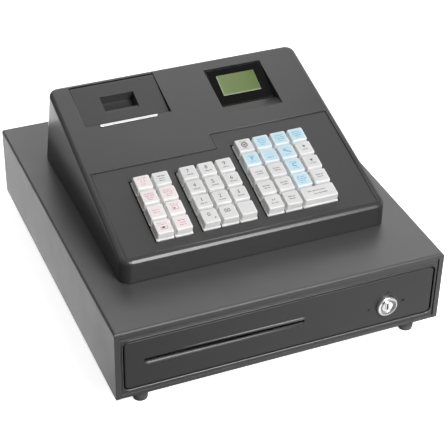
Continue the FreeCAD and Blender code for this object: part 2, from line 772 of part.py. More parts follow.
def display_recess():
    """The air above the display: the ramp in front, and the pocket that the window lies in."""
    recess = body("display_recess")
    points = [
        ("ramp_front", "0"),
        ("window_front - window_gap", "-window_sink"),
        ("window_front - window_gap", "-window_sink - window_gauge - window_gap / 2"),
        ("window_back + window_gap", "-window_gauge - window_gap / 2"),
        ("window_back + window_gap", "20"),
        ("ramp_front", "20"),
    ]
    section = outline(recess, "recess_section", "YZ_Plane", points, "window_left - window_gap")
    recess.Tip = grow(recess, "Pad", "recess_pad", section, "window_right - window_left + 2 * window_gap")
    return recess


def lcd_opening():
    """The hole in the recess's floor that the liquid-crystal panel reaches through."""
    border = "(lcd_border + 1)"
    return block("lcd_opening", (f"lcd_left - {border}", f"window_front + lcd_front - {border}", "-20"),
                 (f"lcd_right + {border}", f"window_front + lcd_back + {border}", "0"))


def keyboard_cover():
    """Flat inset cover with three wells for the key blocks and bosses that hold the switch board."""
    plate = inset_area("keyboard_plate", "0", "-inset_sink - inset_gauge", "-inset_sink")
    bosses = [
        rod(f"board_boss_{index}", (x, slope, "board_top"), "boss_radius", "-board_top - inset_sink - 1")
        for index, (x, slope) in enumerate(
            (x, slope) for x in ("-100.4", "-53.6", "12.3", "97.4") for slope in ("15.5", "103"))
    ]
    wells = []
    for name, shape in KEY_BLOCKS.items():
        right = f"{shape['x']} + {shape['columns']} * key_pitch - key_gap + well_gap"
        back = f"key_front + {shape['rows']} * key_pitch - key_gap + well_gap"
        wells.append(block(f"well_{name}", (f"{shape['x']} - well_gap - well_shadow", "key_front - well_gap", "-10"),
                           (right, f"{back} + well_shadow", "10")))
    return node("keyboard_cover", tilt(cut("keyboard_cover", fuse("keyboard_solid", plate, *bosses), *wells)))


def key_cells():
    """Every key: its block, row from the front, column from the left and how many columns it spans."""
    for name, shape in KEY_BLOCKS.items():
        for row in range(shape["rows"]):
            wide = name == "right" and row == 0
            columns = shape["columns"] - 1 if wide else shape["columns"]
            for column in range(columns):
                yield name, row, column, 2 if wide and column == columns - 1 else 1


def key_centre(name, row, column, span):
    x = f"{KEY_BLOCKS[name]['x']} + ({column} + {span} / 2) * key_pitch - key_gap / 2"
    slope = f"key_front + ({row} + 0.5) * key_pitch - key_gap / 2"
    return x, slope


def upright(name, x, slope, reach, low, high):
    """A square block about a place on the deck."""
    return block(name, (f"{x} - {reach}", f"{slope} - {reach}", low), (f"{x} + {reach}", f"{slope} + {reach}", high))


def key_caps():
    """Hollow tapered caps, each with a square stem that runs down into its switch."""
    for name, row, column, span in key_cells():
        label = f"key_{name}_r{row + 1}_c{column + 1}"
        half_base = f"({span} * key_pitch - key_gap) / 2"
        half_top = f"{half_base} - (key_pitch - key_gap - key_top) / 2"
        half_base_y = "(key_pitch - key_gap) / 2"
        cap = frustum(label + "_cap", half_base, half_base_y, half_top, "key_top / 2", "-key_skirt", "key_rise")
        hollow = frustum(label + "_hollow", f"{half_base} - key_wall", f"{half_base_y} - key_wall",
                         f"{half_top} - key_wall", "key_top / 2 - key_wall", "-key_skirt - 0.01",
                         "key_rise - key_wall")
        stem = upright(label + "_stem", "0", "0", "stem_side / 2", "stem_low", "key_rise - key_wall / 2")
        piece = fuse(label, cut(label + "_shell", cap, hollow), stem)
        x, slope = key_centre(name, row, column, span)
        node(label, tilt(piece, x, slope))


def key_switches():
    """The switch board with one housing under each key; every housing has a square hole for the stem."""
    board = block("switch_board", ("block_left_x - board_margin", "board_front", "board_top - board_gauge"),
                  ("block_right_x + 4 * key_pitch + board_margin", "board_back", "board_top"))
    stem_reach = "(stem_side / 2 + stem_gap)"
    housings = []
    holes = []
    for index, cell in enumerate(key_cells()):
        x, slope = key_centre(*cell)
        housings.append(upright(f"switch_{index}", x, slope, "switch_side / 2", "board_top", "switch_top"))
        holes.append(upright(f"stem_hole_{index}", x, slope, stem_reach, "board_top - board_gauge - 1",
                             "switch_top + 1"))
    solid = fuse("switch_solid", board, *housings)
    return node("key_switches", tilt(cut("key_switches", solid, *holes)))


def base_prism(name, inset, low, high):
    """A round-cornered prism that fits inside the foot of the case, less an inset all round."""
    gap = f"case_wall + base_gap + {inset}"
    prism = body(name)
    corner_low = (f"{gap} - case_half", f"case_front + {gap}")
    corner_high = (f"case_half - ({gap})", f"case_back - ({gap}) - base_gap")
    section = outline(prism, name + "_section", "XY_Plane", rectangle(corner_low, corner_high), low)
    pad = grow(prism, "Pad", name + "_pad", section, f"({high}) - ({low})")
    prism.Tip = round_edges(prism, name + "_corners", pad, f"case_corner - case_wall - {inset}",
                            lambda edge: runs_along(edge, Vector(0, 0, 1)))
    return prism


def base_case():
    """Bottom pan that closes the case, with a rim inside the cover and posts for the printer."""
    rim = cut("base_rim", base_prism("base_outer", "0", "body_top", "body_top + rim_height"),
              base_prism("base_hollow", "base_wall", "body_top + base_wall", "body_top + 2 * rim_height"))
    groups = {
        "printer_post": (("printer_left + printer_post_inset", "printer_right - printer_post_inset"),
                         ("printer_front_y + printer_post_inset", "printer_back_y - printer_post_inset"),
                         "printer_low - body_top - 1"),
        "case_post": (("post_inset - case_half", "case_half - post_inset"),
                      ("case_front + post_inset", "case_back - post_inset - post_radius"), "post_height"),
    }
    posts = []
    for name, (across, along, height) in groups.items():
        for x in across:
            for y in along:
                posts.append(rod(f"{name}_{len(posts)}", (x, y, "body_top + 1"), "post_radius", height))
    return node("base_case", fuse("base_case", rim, *posts))


# ---------------------------------------------------------------- printer and display

def printer_lid():
    """Lid that slopes a little more than the deck, with a finger opening and a rolled hinge edge."""
    lid = body("lid_plate")
    front_low = "-lid_drop - lid_gauge"
    points = [
        ("lid_front", front_low),
        ("hinge_slope", "-hinge_depth"),
        ("hinge_slope", "hinge_barrel - hinge_depth"),
        ("lid_front", "-lid_drop"),
    ]
    section = outline(lid, "lid_section", "YZ_Plane", points, "lid_left")
    lid.Tip = grow(lid, "Pad", "lid_pad", section, "lid_right - lid_left")
    barrel = rod("lid_barrel", ("lid_left", "hinge_slope", "-hinge_depth"), "hinge_barrel",
                 "lid_right - lid_left", "x")
    pins = rod("lid_pins", ("lid_left - hinge_pin_reach", "hinge_slope", "-hinge_depth"), "hinge_pin",
               "lid_right - lid_left + 2 * hinge_pin_reach", "x")
    finger = block("finger_opening", ("finger_left", "finger_front", "-20"),
                   ("finger_right", "finger_back", "5"))
    lip = block("finger_lip", ("finger_left + finger_lip_gauge", "finger_front",
                               "-lid_drop - lid_gauge - finger_lip_drop"),
                ("finger_right - finger_lip_gauge", "finger_front + finger_lip_gauge", "-lid_drop - running_gap"))
    solid = fuse("lid_solid", cut("lid_cut", fuse("lid_body", lid, barrel), finger), pins, lip)
    solid.Refine = True
    return node("printer_lid", tilt(solid))


def tear_bar():
    """Steel strip along the front of the printer's opening."""
    strip = body("tear_strip")
    low = ("tear_left", "tear_front")
    high = ("tear_right", "tear_back")
    section = outline(strip, "tear_section", "XY_Plane", rectangle(low, high), "-case_wall")
    pad = grow(strip, "Pad", "tear_pad", section, "case_wall + tear_rise")
    strip.Tip = round_edges(strip, "tear_ends", pad, "(tear_back - tear_front) / 2 - 0.02",
                            lambda edge: runs_along(edge, Vector(0, 0, 1)))
    return node("tear_bar", tilt(strip))


def display_window():
    """Black glossy window that frames the liquid-crystal panel."""
    window = body("window_plate")
    back_drop = "-window_gauge"
    points = [
        ("window_front", "-window_sink - window_gauge"),
        ("window_back", back_drop),
        ("window_back", "0"),
        ("window_front", "-window_sink"),
    ]
    section = outline(window, "window_section", "YZ_Plane", points, "window_left")
    window.Tip = grow(window, "Pad", "window_pad", section, "window_right - window_left")
    view = block("window_view", ("lcd_left", "window_front + lcd_front", "-20"),
                 ("lcd_right", "window_front + lcd_back", "5"))
    return node("display_window", tilt(cut("display_window", window, view)))


def lcd_module():
    """Liquid-crystal glass that stands up into the window's view, on its carrier board."""
    glass = block("lcd_glass", ("lcd_left + lcd_gap", "lcd_front + 2 * lcd_gap", "lcd_glass_low"),
                  ("lcd_right - lcd_gap", "lcd_back", "lcd_glass_high"))
    board = block("lcd_board", ("lcd_left - lcd_border", "lcd_front - lcd_border / 3", "lcd_board_low"),
                  ("lcd_right + lcd_border", "lcd_back + lcd_border / 1.5", "lcd_glass_low + 1"))
    module = fuse("lcd_module", glass, board)
    tilt(module, 0, "window_front", "-window_sink", "window_tilt")
    return node("lcd_module", module)


def printer_mechanism():
    """Printer frame with two cheeks that carry the platen, the print head and the paper bucket behind."""
    frame = block("printer_block", ("printer_left", "printer_front_y", "printer_low"),
                  ("printer_right", "printer_back_y", "bucket_high"))
    bucket = block("paper_bucket", ("printer_left + printer_wall", "bucket_front_y + printer_wall",
                                    "printer_low + printer_wall"),
                   ("printer_right - printer_wall", "printer_back_y - printer_wall", "bucket_high + 1"))
    well = block("print_well", ("printer_left + printer_wall", "printer_front_y + printer_wall",
                                "bucket_high - print_well_depth"),
                 ("printer_right - printer_wall", "bucket_front_y", "bucket_high + 1"))
    cheeks = [
        block(f"cheek_{index}", (x, "printer_front_y", "bucket_high - 1"),
              (f"{x} + printer_wall", "bucket_front_y", "platen_z + cheek_rise"))
        for index, x in enumerate(("printer_left", "printer_right - printer_wall"))
    ]
    bore = rod("platen_bore", ("printer_left - 1", "platen_y", "platen_z"), "platen_shaft + running_gap",
               "printer_right - printer_left + 2", "x")
    head = block("print_head", ("printer_left + printer_wall + print_head_gap", "printer_front_y + 1",
                                "bucket_high - print_well_depth + print_head_gauge"),
                 ("printer_right - printer_wall - print_head_gap", "printer_front_y + 1 + print_head_gauge",
                  "bucket_high + 1"))
    solid = fuse("printer_solid", cut("printer_hollow", frame, bucket, well), *cheeks, head)
    return node("printer_mechanism", cut("printer_mechanism", solid, bore))


def platen_roller():
    """Rubber roller on a steel shaft with a drive gear at its right end."""
    rubber = rod("platen_rubber", ("printer_left + printer_wall + platen_end_gap", "platen_y", "platen_z"),
                 "platen_radius - platen_grind",
                 "printer_right - printer_left - 2 * (printer_wall + platen_end_gap)", "x")
    shaft = rod("platen_axle", ("printer_left - platen_end_gap", "platen_y", "platen_z"), "platen_shaft",
                "printer_right - printer_left + platen_end_gap + gear_width", "x")
    gear = rod("platen_gear", ("printer_right + gear_gap", "platen_y", "platen_z"), "platen_radius",
               "gear_width", "x")
    return node("platen_roller", fuse("platen_roller", rubber, shaft, gear))


def power_inlet():
    """Low-voltage socket in the case's back wall."""
    face = "case_back - inlet_recess"
    centre_z = "inlet_low + inlet_side / 2"
    shell = block("inlet_body", ("inlet_x - inlet_side / 2", f"{face} - inlet_length", "inlet_low"),
                  ("inlet_x + inlet_side / 2", face, "inlet_low + inlet_side"))
    mouth = rod("inlet_mouth", ("inlet_x", f"{face} - inlet_depth", centre_z), "inlet_bore", "inlet_depth + 1", "y")
    return node("power_inlet", cut("power_inlet", shell, mouth))


# ---------------------------------------------------------------- build, check and write

def check_and_write():
    doc.recompute()
    for thing in doc.Objects:
        if {"Invalid", "Error"} & set(thing.State):
            raise RuntimeError(f"{thing.Label} did not recompute: {thing.State}")
    os.makedirs("parts", exist_ok=True)
    for piece in nodes:
        if piece.Shape.isNull() or not piece.Shape.isValid() or piece.Shape.Volume <= 0:
            raise RuntimeError(f"{piece.Label} has no sound shape")
        piece.Shape.exportStep(f"parts/{piece.Label}.step")
    print(len(nodes), "pieces")


housing_cover()
housing_chassis()
rubber_feet()
drawer_front()
drawer_tray()
till_insert()
bill_clips()
lock()
drawer_release()
upper_cover()
keyboard_cover()
key_caps()
key_switches()
base_case()
printer_lid()
tear_bar()
display_window()
lcd_module()
printer_mechanism()
platen_roller()
power_inlet()
check_and_write()
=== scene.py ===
"""The looks of a small electronic cash register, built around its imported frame.

The frame's own axes: +X to the clerk's right, +Y to the back, +Z up. Meshes are built in millimetres and
scaled to metres when their piece is made. Pieces on the sloping deck are built flat, in the deck's own axes,
and their object's turn about X carries them onto the slope.
"""

import json
import math
import random

import bmesh
import bpy
from mathutils import Matrix, Quaternion, Vector


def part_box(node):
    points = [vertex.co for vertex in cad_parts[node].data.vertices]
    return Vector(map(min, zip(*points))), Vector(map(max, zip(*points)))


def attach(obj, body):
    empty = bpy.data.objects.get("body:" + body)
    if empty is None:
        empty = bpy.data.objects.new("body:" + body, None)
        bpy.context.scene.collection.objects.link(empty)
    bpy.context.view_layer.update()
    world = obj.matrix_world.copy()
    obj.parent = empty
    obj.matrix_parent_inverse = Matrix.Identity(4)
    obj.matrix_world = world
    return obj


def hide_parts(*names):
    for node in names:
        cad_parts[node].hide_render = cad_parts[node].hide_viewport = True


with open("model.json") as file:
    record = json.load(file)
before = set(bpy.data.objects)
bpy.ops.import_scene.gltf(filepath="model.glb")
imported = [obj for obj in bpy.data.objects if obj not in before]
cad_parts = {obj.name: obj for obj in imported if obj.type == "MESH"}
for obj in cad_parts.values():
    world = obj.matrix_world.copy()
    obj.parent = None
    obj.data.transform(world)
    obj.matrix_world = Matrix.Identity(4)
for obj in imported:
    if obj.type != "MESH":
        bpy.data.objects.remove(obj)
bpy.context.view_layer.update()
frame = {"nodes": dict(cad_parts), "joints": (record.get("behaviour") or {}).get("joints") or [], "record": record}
slot_of = {name: thing.material_slots[0].material.name for name, thing in frame["nodes"].items()}
for packed in bpy.data.materials:
    packed.name = "packed_" + packed.name

MM = 0.001  # a millimetre in metres
PRINT = 0.05  # how thick printed ink stands, in mm
CASE_ROUND = 4  # rounding of the case's deck edges, in mm
INSET_SINK = 0.4  # how far the keyboard cover lies below the deck, in mm
ROUND_STEPS = 5  # points in a quarter turn of a small corner

PRESS_AXIS = next(joint["axis"] for joint in frame["joints"] if joint["name"].startswith("press_key"))
DECK_ANGLE = math.atan2(PRESS_AXIS[1], -PRESS_AXIS[2])
DECK = Matrix.Rotation(DECK_ANGLE, 4, "X")


# -------- places, read from the frame in mm

def points_of(node, turn=Matrix.Identity(4)):
    """A CAD node's points in turned axes."""
    back = turn.inverted()
    return [back @ vertex.co / MM for vertex in frame["nodes"][node].data.vertices]


def box_of(node, turn=Matrix.Identity(4), keep=lambda point: True):
    """Lowest and highest corner of a CAD node, or of the points of it that a test keeps, in turned axes."""
    points = [point for point in points_of(node, turn) if keep(point)]
    low = Vector(min(point[axis] for point in points) for axis in range(3))
    high = Vector(max(point[axis] for point in points) for axis in range(3))
    return low, high


def joint_place(name):
    return Vector(next(joint["pos_m"] for joint in frame["joints"] if joint["name"] == name)) / MM


def opening_box(name):
    """Lowest and highest corner of one of the record's openings."""
    openings = frame["record"]["physics"]["openings"]
    low, high = next(opening["box_m"] for opening in openings if opening["name"] == name)
    return Vector(low) / MM, Vector(high) / MM


# -------- materials

class Nodes:
    """A material's node tree, with short calls that add a node and join it up."""

    def __init__(self, name):
        self.material = bpy.data.materials.new(name)
        self.material.use_nodes = True
        self.tree = self.material.node_tree
        self.shader = self.tree.nodes["Principled BSDF"]
        self.place = self.add("ShaderNodeTexCoord").outputs["Object"]

    def add(self, kind, inputs=None, **settings):
        """Add a node with its settings, and fill its inputs."""
        node = self.tree.nodes.new(kind)
        for key, value in settings.items():
            setattr(node, key, value)
        for socket, source in (inputs or {}).items():
            self.join(source, node, socket)
        return node

    def join(self, source, node, socket):
        """Set an input: link it if the source is a socket, or give it the value."""
        if isinstance(source, bpy.types.NodeSocket):
            self.tree.links.new(source, node.inputs[socket])
        else:
            node.inputs[socket].default_value = source

    def noise(self, scale, detail, stretch=(1, 1, 1)):
        """Noise with that many features in a metre, finer or coarser along an axis."""
        mapping = self.add("ShaderNodeMapping", {"Vector": self.place, "Scale": stretch})
        inputs = {"Vector": mapping.outputs[0], "Scale": scale, "Detail": detail}
        return self.add("ShaderNodeTexNoise", inputs).outputs["Fac"]

    def cells(self, scale):
        return self.add("ShaderNodeTexVoronoi", {"Vector": self.place, "Scale": scale})

    def spread(self, value, low, high, start=0.0, end=1.0):
        """A value from start to end, spread from low to high."""
        inputs = {"Value": value, "From Min": start, "From Max": end, "To Min": low, "To Max": high}
        return self.add("ShaderNodeMapRange", inputs).outputs[0]

    def maths(self, operation, a, b):
        return self.add("ShaderNodeMath", {0: a, 1: b}, operation=operation).outputs[0]

    def mix(self, share, a, b):
        """A colour between two others."""
        return self.add("ShaderNodeMix", {0: share, 6: a, 7: b}, data_type="RGBA").outputs[2]

    def edges(self, radius):
        """How far a point lies on a sharp edge, from 0 on a flat face to 1, and the softened normal."""
        soft = self.add("ShaderNodeBevel", {"Radius": radius * MM}, samples=4).outputs[0]
        flat = self.add("ShaderNodeNewGeometry").outputs["Normal"]
        dot = self.add("ShaderNodeVectorMath", {0: soft, 1: flat}, operation="DOT_PRODUCT")
        return self.spread(dot.outputs["Value"], 0.0, 1.0, 0.995, 0.8), soft

    def bump(self, height, depth, normal=None):
        """Relief of that depth in mm, on top of another normal if there is one."""
        inputs = {"Height": height, "Distance": depth * MM}
        if normal is not None:
            inputs["Normal"] = normal
        self.join(self.add("ShaderNodeBump", inputs).outputs[0], self.shader, "Normal")

    def finish(self, colour, roughness, **fixed):
        """Join the colour and roughness up, and set the values that are the same all over."""
        self.join(colour, self.shader, "Base Color")
        self.join(roughness, self.shader, "Roughness")
        for socket, value in fixed.items():
            self.join(value, self.shader, socket.replace("_", " "))
        return self.material


def grey(level, warmth=0.0):
    """A near-neutral colour, a little warm if warmth is above 0 and cool if below."""
    return (level * (1 + warmth), level, level * (1 - warmth), 1.0)


def grained(name, level, roughness, grain=2400.0, depth=0.05, edge=0.4, wear_and_highlight_lift=1.5, warmth=0.0, specular=0.5):
    """Moulded or powder-coated surface: fine grain, faint blotches of tone, and edges painted lighter, part
    rubbing wear and part painted highlight.
    """
    nodes = Nodes(name)
    blotch = nodes.noise(14, 3)
    grit = nodes.noise(grain, 2)
    wear_and_highlight_edge, soft = nodes.edges(edge)
    wear_and_highlight = nodes.maths("MULTIPLY", wear_and_highlight_edge, nodes.spread(nodes.noise(90, 4), 0.1, 1.0, 0.35, 0.7))
    share = nodes.spread(blotch, 0, 1, 0.3, 0.7)
    tone = nodes.mix(share, grey(level * 0.96, warmth), grey(level * 1.04, warmth))
    speck = nodes.mix(nodes.spread(grit, 0, 0.35, 0.35, 0.75), tone, grey(level * 1.6, warmth))
    # edges painted lighter in patches: part rubbing wear, part painted highlight
    colour = nodes.mix(nodes.maths("MULTIPLY", wear_and_highlight, 0.5), speck, grey(level * (1 + wear_and_highlight_lift), warmth))
    smudge = nodes.spread(nodes.noise(30, 4), roughness - 0.015, roughness + 0.02, 0.3, 0.7)
    nodes.bump(grit, depth, soft)
    return nodes.finish(colour, smudge, Specular_IOR_Level=specular)


def metal(name, level, roughness, warmth=0.0, stretch=(1, 1, 1), scale=900.0, depth=0.01, tone=0.12):
    """Bare or plated metal, brushed along the axis that is stretched least."""
    nodes = Nodes(name)
    lines = nodes.noise(scale, 3, stretch)
    stain = nodes.noise(40, 4)
    _, soft = nodes.edges(0.25)
    share = nodes.spread(stain, 0, 1, 0.3, 0.7)
    colour = nodes.mix(share, grey(level * (1 - tone), warmth), grey(level, warmth))
    rough = nodes.maths("ADD", nodes.spread(lines, roughness - 0.04, roughness + 0.08, 0.3, 0.7),
                        nodes.spread(stain, 0, 0.08, 0.4, 0.8))
    nodes.bump(lines, depth, soft)
    return nodes.finish(colour, rough, Metallic=1.0)


def zinc(name):
    """Galvanised sheet: crystals of slightly different greys, each with its own shine."""
    nodes = Nodes(name)
    crystals = nodes.cells(160)
    _, soft = nodes.edges(0.25)
    shade = nodes.spread(crystals.outputs["Color"], 0.0, 1.0)
    colour = nodes.mix(shade, grey(0.42, -0.03), grey(0.62, -0.03))
    nodes.bump(nodes.noise(600, 2), 0.01, soft)
    return nodes.finish(colour, nodes.spread(shade, 0.32, 0.5), Metallic=1.0)


def gloss(name, level):
    """Polished plastic or lacquer with faint smears and a trace of dust."""
    nodes = Nodes(name)
    smear = nodes.noise(60, 5, (1, 0.3, 1))
    dust = nodes.noise(1500, 1)
    _, soft = nodes.edges(0.3)
    colour = nodes.mix(nodes.spread(dust, 0, 0.5, 0.62, 0.9), grey(level), grey(level * 4 + 0.02))
    nodes.bump(nodes.noise(25, 2), 0.01, soft)
    return nodes.finish(colour, nodes.spread(smear, 0.06, 0.18, 0.35, 0.75), Specular_IOR_Level=0.3)


def rubber(name, level):
    """Matt rubber with fine grit and dust in patches."""
    nodes = Nodes(name)
    grit = nodes.noise(1800, 3)
    dust = nodes.noise(120, 4)
    _, soft = nodes.edges(0.3)
    colour = nodes.mix(nodes.spread(dust, 0, 0.4, 0.45, 0.8), grey(level), grey(level * 3, 0.04))
    nodes.bump(grit, 0.06, soft)
    return nodes.finish(colour, nodes.spread(grit, 0.65, 0.85))


def cap_plastic(name, colour):
    """Smooth moulded key plastic: even, slightly waxy, with finger polish on the raised parts."""
    nodes = Nodes(name)
    tint = [channel * 0.93 for channel in colour]
    polish = nodes.noise(110, 3)
    _, soft = nodes.edges(0.25)
    tone = nodes.mix(nodes.spread(nodes.noise(45, 4), 0, 1, 0.3, 0.7), (*colour, 1), (*tint, 1))
    nodes.bump(nodes.noise(2600, 2), 0.012, soft)
    return nodes.finish(tone, nodes.spread(polish, 0.26, 0.4, 0.3, 0.7), Specular_IOR_Level=0.5,
                        Subsurface_Weight=0.3, Subsurface_Radius=(1, 1, 1), Subsurface_Scale=1.5 * MM)


def ink(name, colour, strength):
    """Pad-printed ink, a little uneven and slightly see-through to the white under it."""
    nodes = Nodes(name)
    pale = [channel + (1 - channel) * (1 - strength) for channel in colour]
    thin = [channel + (0.9 - channel) * 0.35 for channel in pale]
    cover = nodes.noise(1400, 3)
    nodes.bump(cover, 0.01)
    tone = nodes.mix(nodes.spread(cover, 0, 1, 0.45, 0.85), (*pale, 1), (*thin, 1))
    return nodes.finish(tone, nodes.spread(cover, 0.4, 0.55))


def crystal_green(name):
    """The liquid-crystal panel's lit ground, with a faint grid of dots and painted light that makes its left side
    brighter.
    """
    nodes = Nodes(name)
    low, high = box_of("lcd_module")
    glow = nodes.noise(35, 2)
    dots = nodes.cells(1300)
    grid = nodes.spread(dots.outputs["Distance"], 0, 0.25, 0.3, 0.6)
    across = nodes.add("ShaderNodeSeparateXYZ", {0: nodes.place})
    # painted light: the colour lightens towards the panel's left side
    side = nodes.spread(across.outputs["X"], 0.35, 0.0, low.x * MM, high.x * MM)
    ground = nodes.mix(nodes.spread(glow, 0, 1, 0.3, 0.7), (0.1, 0.16, 0.035, 1), (0.14, 0.205, 0.058, 1))
    lit = nodes.mix(side, ground, (0.36, 0.4, 0.25, 1))
    nodes.bump(glow, 0.005)
    return nodes.finish(nodes.mix(grid, lit, (0.12, 0.17, 0.06, 1)), nodes.spread(glow, 0.3, 0.42),
                        Coat_Weight=0.15, Coat_Roughness=0.25)


# What grained, metal and cap_plastic are given for each finish, in their own order.
GRAINED = {
    "housing_paint": (0.057, 0.4, 1700, 0.06, 0.7, 1.0),
    "frame_paint": (0.05, 0.38, 1700, 0.06, 0.7, 1.2),
    "drawer_paint": (0.036, 0.42, 1700, 0.06, 0.5, 1.2, 0.0, 0.4),
    "till_plastic": (0.035, 0.42, 1900, 0.05, 0.5, 1.6),
    "base_plastic": (0.03, 0.5),
    "case_plastic": (0.029, 0.29, 2400, 0.008, 0.6, 1.4, 0.0, 0.7),
    "keyboard_plastic": (0.041, 0.38, 2400, 0.04, 0.6, 1.4),
    "lid_plastic": (0.048, 0.38, 2400, 0.04, 0.6, 1.4),
    "printer_plastic": (0.045, 0.42),
    "switch_plastic": (0.02, 0.5, 1600),
    "inlet_plastic": (0.015, 0.4),
}
METAL = {
    "clip_steel": (0.5, 0.34, 0.0, (0.05, 1, 1)),
    "lock_chrome": (0.86, 0.27, 0.0, (1, 1, 1), 1400, 0.004, 0.05),
    "release_metal": (0.5, 0.36, 0.06),
    "tear_steel": (0.86, 0.34, 0.0, (0.04, 1, 1), 900, 0.003),
}
KEY_COLOURS = {
    "key_white": (0.84, 0.84, 0.83),
    "key_warm": (0.93, 0.915, 0.9),
    "key_grey": (0.84, 0.85, 0.84),
    "key_blue": (0.84, 0.885, 0.92),
}
MATERIALS = {
    **{name: grained(name, *values) for name, values in GRAINED.items()},
    **{name: metal(name, *values) for name, values in METAL.items()},
    **{name: cap_plastic(name, colour) for name, colour in KEY_COLOURS.items()},
    "foot_rubber": rubber("foot_rubber", 0.09),
    "platen_rubber": rubber("platen_rubber", 0.015),
    "tray_steel": zinc("tray_steel"),
    "window_gloss": gloss("window_gloss", 0.006),
    "lcd_green": crystal_green("lcd_green"),
}
LABELS = {
    "key_white": cap_plastic("label_white", (0.81, 0.81, 0.81)),
    "key_warm": cap_plastic("label_pink", (0.97, 0.895, 0.9)),
    "key_grey": cap_plastic("label_grey", (0.82, 0.84, 0.84)),
    "key_blue": cap_plastic("label_blue", (0.6, 0.84, 0.93)),
}
INKS = {
    "red": ink("ink_red", (0.5, 0.06, 0.08), 0.8),
    "rose": ink("ink_rose", (0.62, 0.2, 0.22), 0.75),
    "dark": ink("ink_dark", (0.03, 0.03, 0.035), 1.0),
    "grey": ink("ink_grey", (0.1, 0.1, 0.11), 0.92),
    "blue": ink("ink_blue", (0.03, 0.36, 0.6), 0.9),
}
# Each ink's place among a cap's materials, after its plastic and its label.
INK_LOOKS = {name: place + 2 for place, name in enumerate(INKS)}


def dress_cad_nodes():
    """Give every CAD node the finish of the slot that the record names for it."""
    for name, thing in frame["nodes"].items():
        for place in thing.material_slots:
            place.material = MATERIALS[slot_of[name]]


# -------- mesh tools

def round_rectangle(half_x, half_y, radius, z=0.0, centre=(0, 0)):
    """A ring of points round a rectangle with round corners."""
    radius = min(radius, half_x, half_y)
    points = []
    for quarter, (side_x, side_y) in enumerate(((1, 1), (-1, 1), (-1, -1), (1, -1))):
        for step in range(ROUND_STEPS + 1):
            turn = math.pi / 2 * (quarter + step / ROUND_STEPS)
            x = centre[0] + side_x * (half_x - radius) + radius * math.cos(turn)
            y = centre[1] + side_y * (half_y - radius) + radius * math.sin(turn)
            points.append(Vector((x, y, z)))
    return points


def circle(radius, z=0.0, centre=(0, 0), steps=48):
    turns = [2 * math.pi * step / steps for step in range(steps)]
    return [Vector((centre[0] + radius * math.cos(a), centre[1] + radius * math.sin(a), z)) for a in turns]


def loft(mesh, rings, index=0, loop=False, closed=True):
    """Skin a run of rings with as many points each, and close its ends or join the last to the first."""
    rows = [[mesh.verts.new(point) for point in ring] for ring in rings]
    faces = [rows[0][::-1], rows[-1]] if closed and not loop else []
    for low, high in zip(rows, rows[1:] + rows[:1] if loop else rows[1:]):
        faces += [(low[i - 1], low[i], high[i], high[i - 1]) for i in range(len(low))]
    for corners in faces:
        mesh.faces.new(corners).material_index = index
    return sum(rows, [])


def plate(mesh, centre, half, corner, edge, index=0):
    """A round-cornered slab about a centre, with all its edges softened."""
    x, y, z = centre
    half_x, half_y, half_z = half
    levels = [(-half_z, edge), (edge * 0.3 - half_z, edge * 0.3), (edge - half_z, 0),
              (half_z - edge, 0), (half_z - edge * 0.3, edge * 0.3), (half_z, edge)]
    rings = [round_rectangle(half_x - inset, half_y - inset, max(corner - inset, edge * 0.2), z + rise, (x, y))
             for rise, inset in levels]
    return loft(mesh, rings, index)


def lathe(mesh, profile, steps=48, index=0, centre=(0, 0)):
    """Turn a profile of (radius, height) points about Z."""
    rings = [circle(max(radius, 1e-3), height, centre, steps) for radius, height in profile]
    return loft(mesh, rings, index)


def tube(mesh, path, radii, steps):
    """A round tube along a path, with a radius for each of its points."""
    rings = []
    for i, point in enumerate(path):
        ahead = path[min(i + 1, len(path) - 1)] - path[max(i - 1, 0)]
        side = ahead.cross(Vector((0, 0, 1))).normalized()
        over = side.cross(ahead).normalized()
        rings.append([point + side * dot.x + over * dot.y for dot in circle(radii[i], steps=steps)])
    loft(mesh, rings)


def bead(mesh, path, radius):
    """A round bead on a closed outline that lies flat, with mitred corners."""
    rings = []
    for before, point, after in zip(path[-1:] + path[:-1], path, path[1:] + path[:1]):
        sides = [Vector((step.y, -step.x, 0)).normalized() for step in (point - before, after - point)]
        mitre = (sides[0] + sides[1]) / (1 + sides[0].dot(sides[1]))
        rings.append([point + mitre * dot.x + Vector((0, 0, dot.y)) for dot in circle(radius, steps=10)])
    loft(mesh, rings, loop=True)


def turned(vertices, matrix):
    """Put vertices in place by a matrix."""
    for vertex in vertices:
        vertex.co = matrix @ vertex.co


def facing(axis, degrees, place):
    """A matrix that turns a shape about an axis and moves it to its place."""
    return Matrix.Translation(place) @ Matrix.Rotation(math.radians(degrees), 4, axis)


def add_object(name, data):
    thing = bpy.data.objects.new(name, data)
    bpy.context.scene.collection.objects.link(thing)
    return thing


def finished(name, mesh, looks):
    """Make an object of a mesh; a look is a material, or the name of a shared one."""
    data = bpy.data.meshes.new(name)
    mesh.to_mesh(data)
    mesh.free()
    for look in looks:
        data.materials.append(MATERIALS[look] if isinstance(look, str) else look)
    return add_object(name, data)


def piece(name, mesh, body, looks, slot=None, turn=None, sharp=35, replaces=()):
    """Finish a mesh, put it in place and let it ride on its body.

    The slot given is not used; nor is the first look that is a name, which the code picks out in its place.
    """
    bmesh.ops.recalc_face_normals(mesh, faces=mesh.faces)
    bmesh.ops.scale(mesh, vec=(MM, MM, MM), verts=mesh.verts)
    thing = finished(name, mesh, looks)
    thing.data.shade_smooth()
    thing.data.set_sharp_from_angle(angle=math.radians(sharp))
    thing.modifiers.new("flat_faces", "WEIGHTED_NORMAL").keep_sharp = True
    if turn is not None:
        thing.matrix_world = turn
    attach(thing, body)
    slot = slot or next((look for look in looks if isinstance(look, str)), None)
    if replaces:
        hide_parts(*replaces)


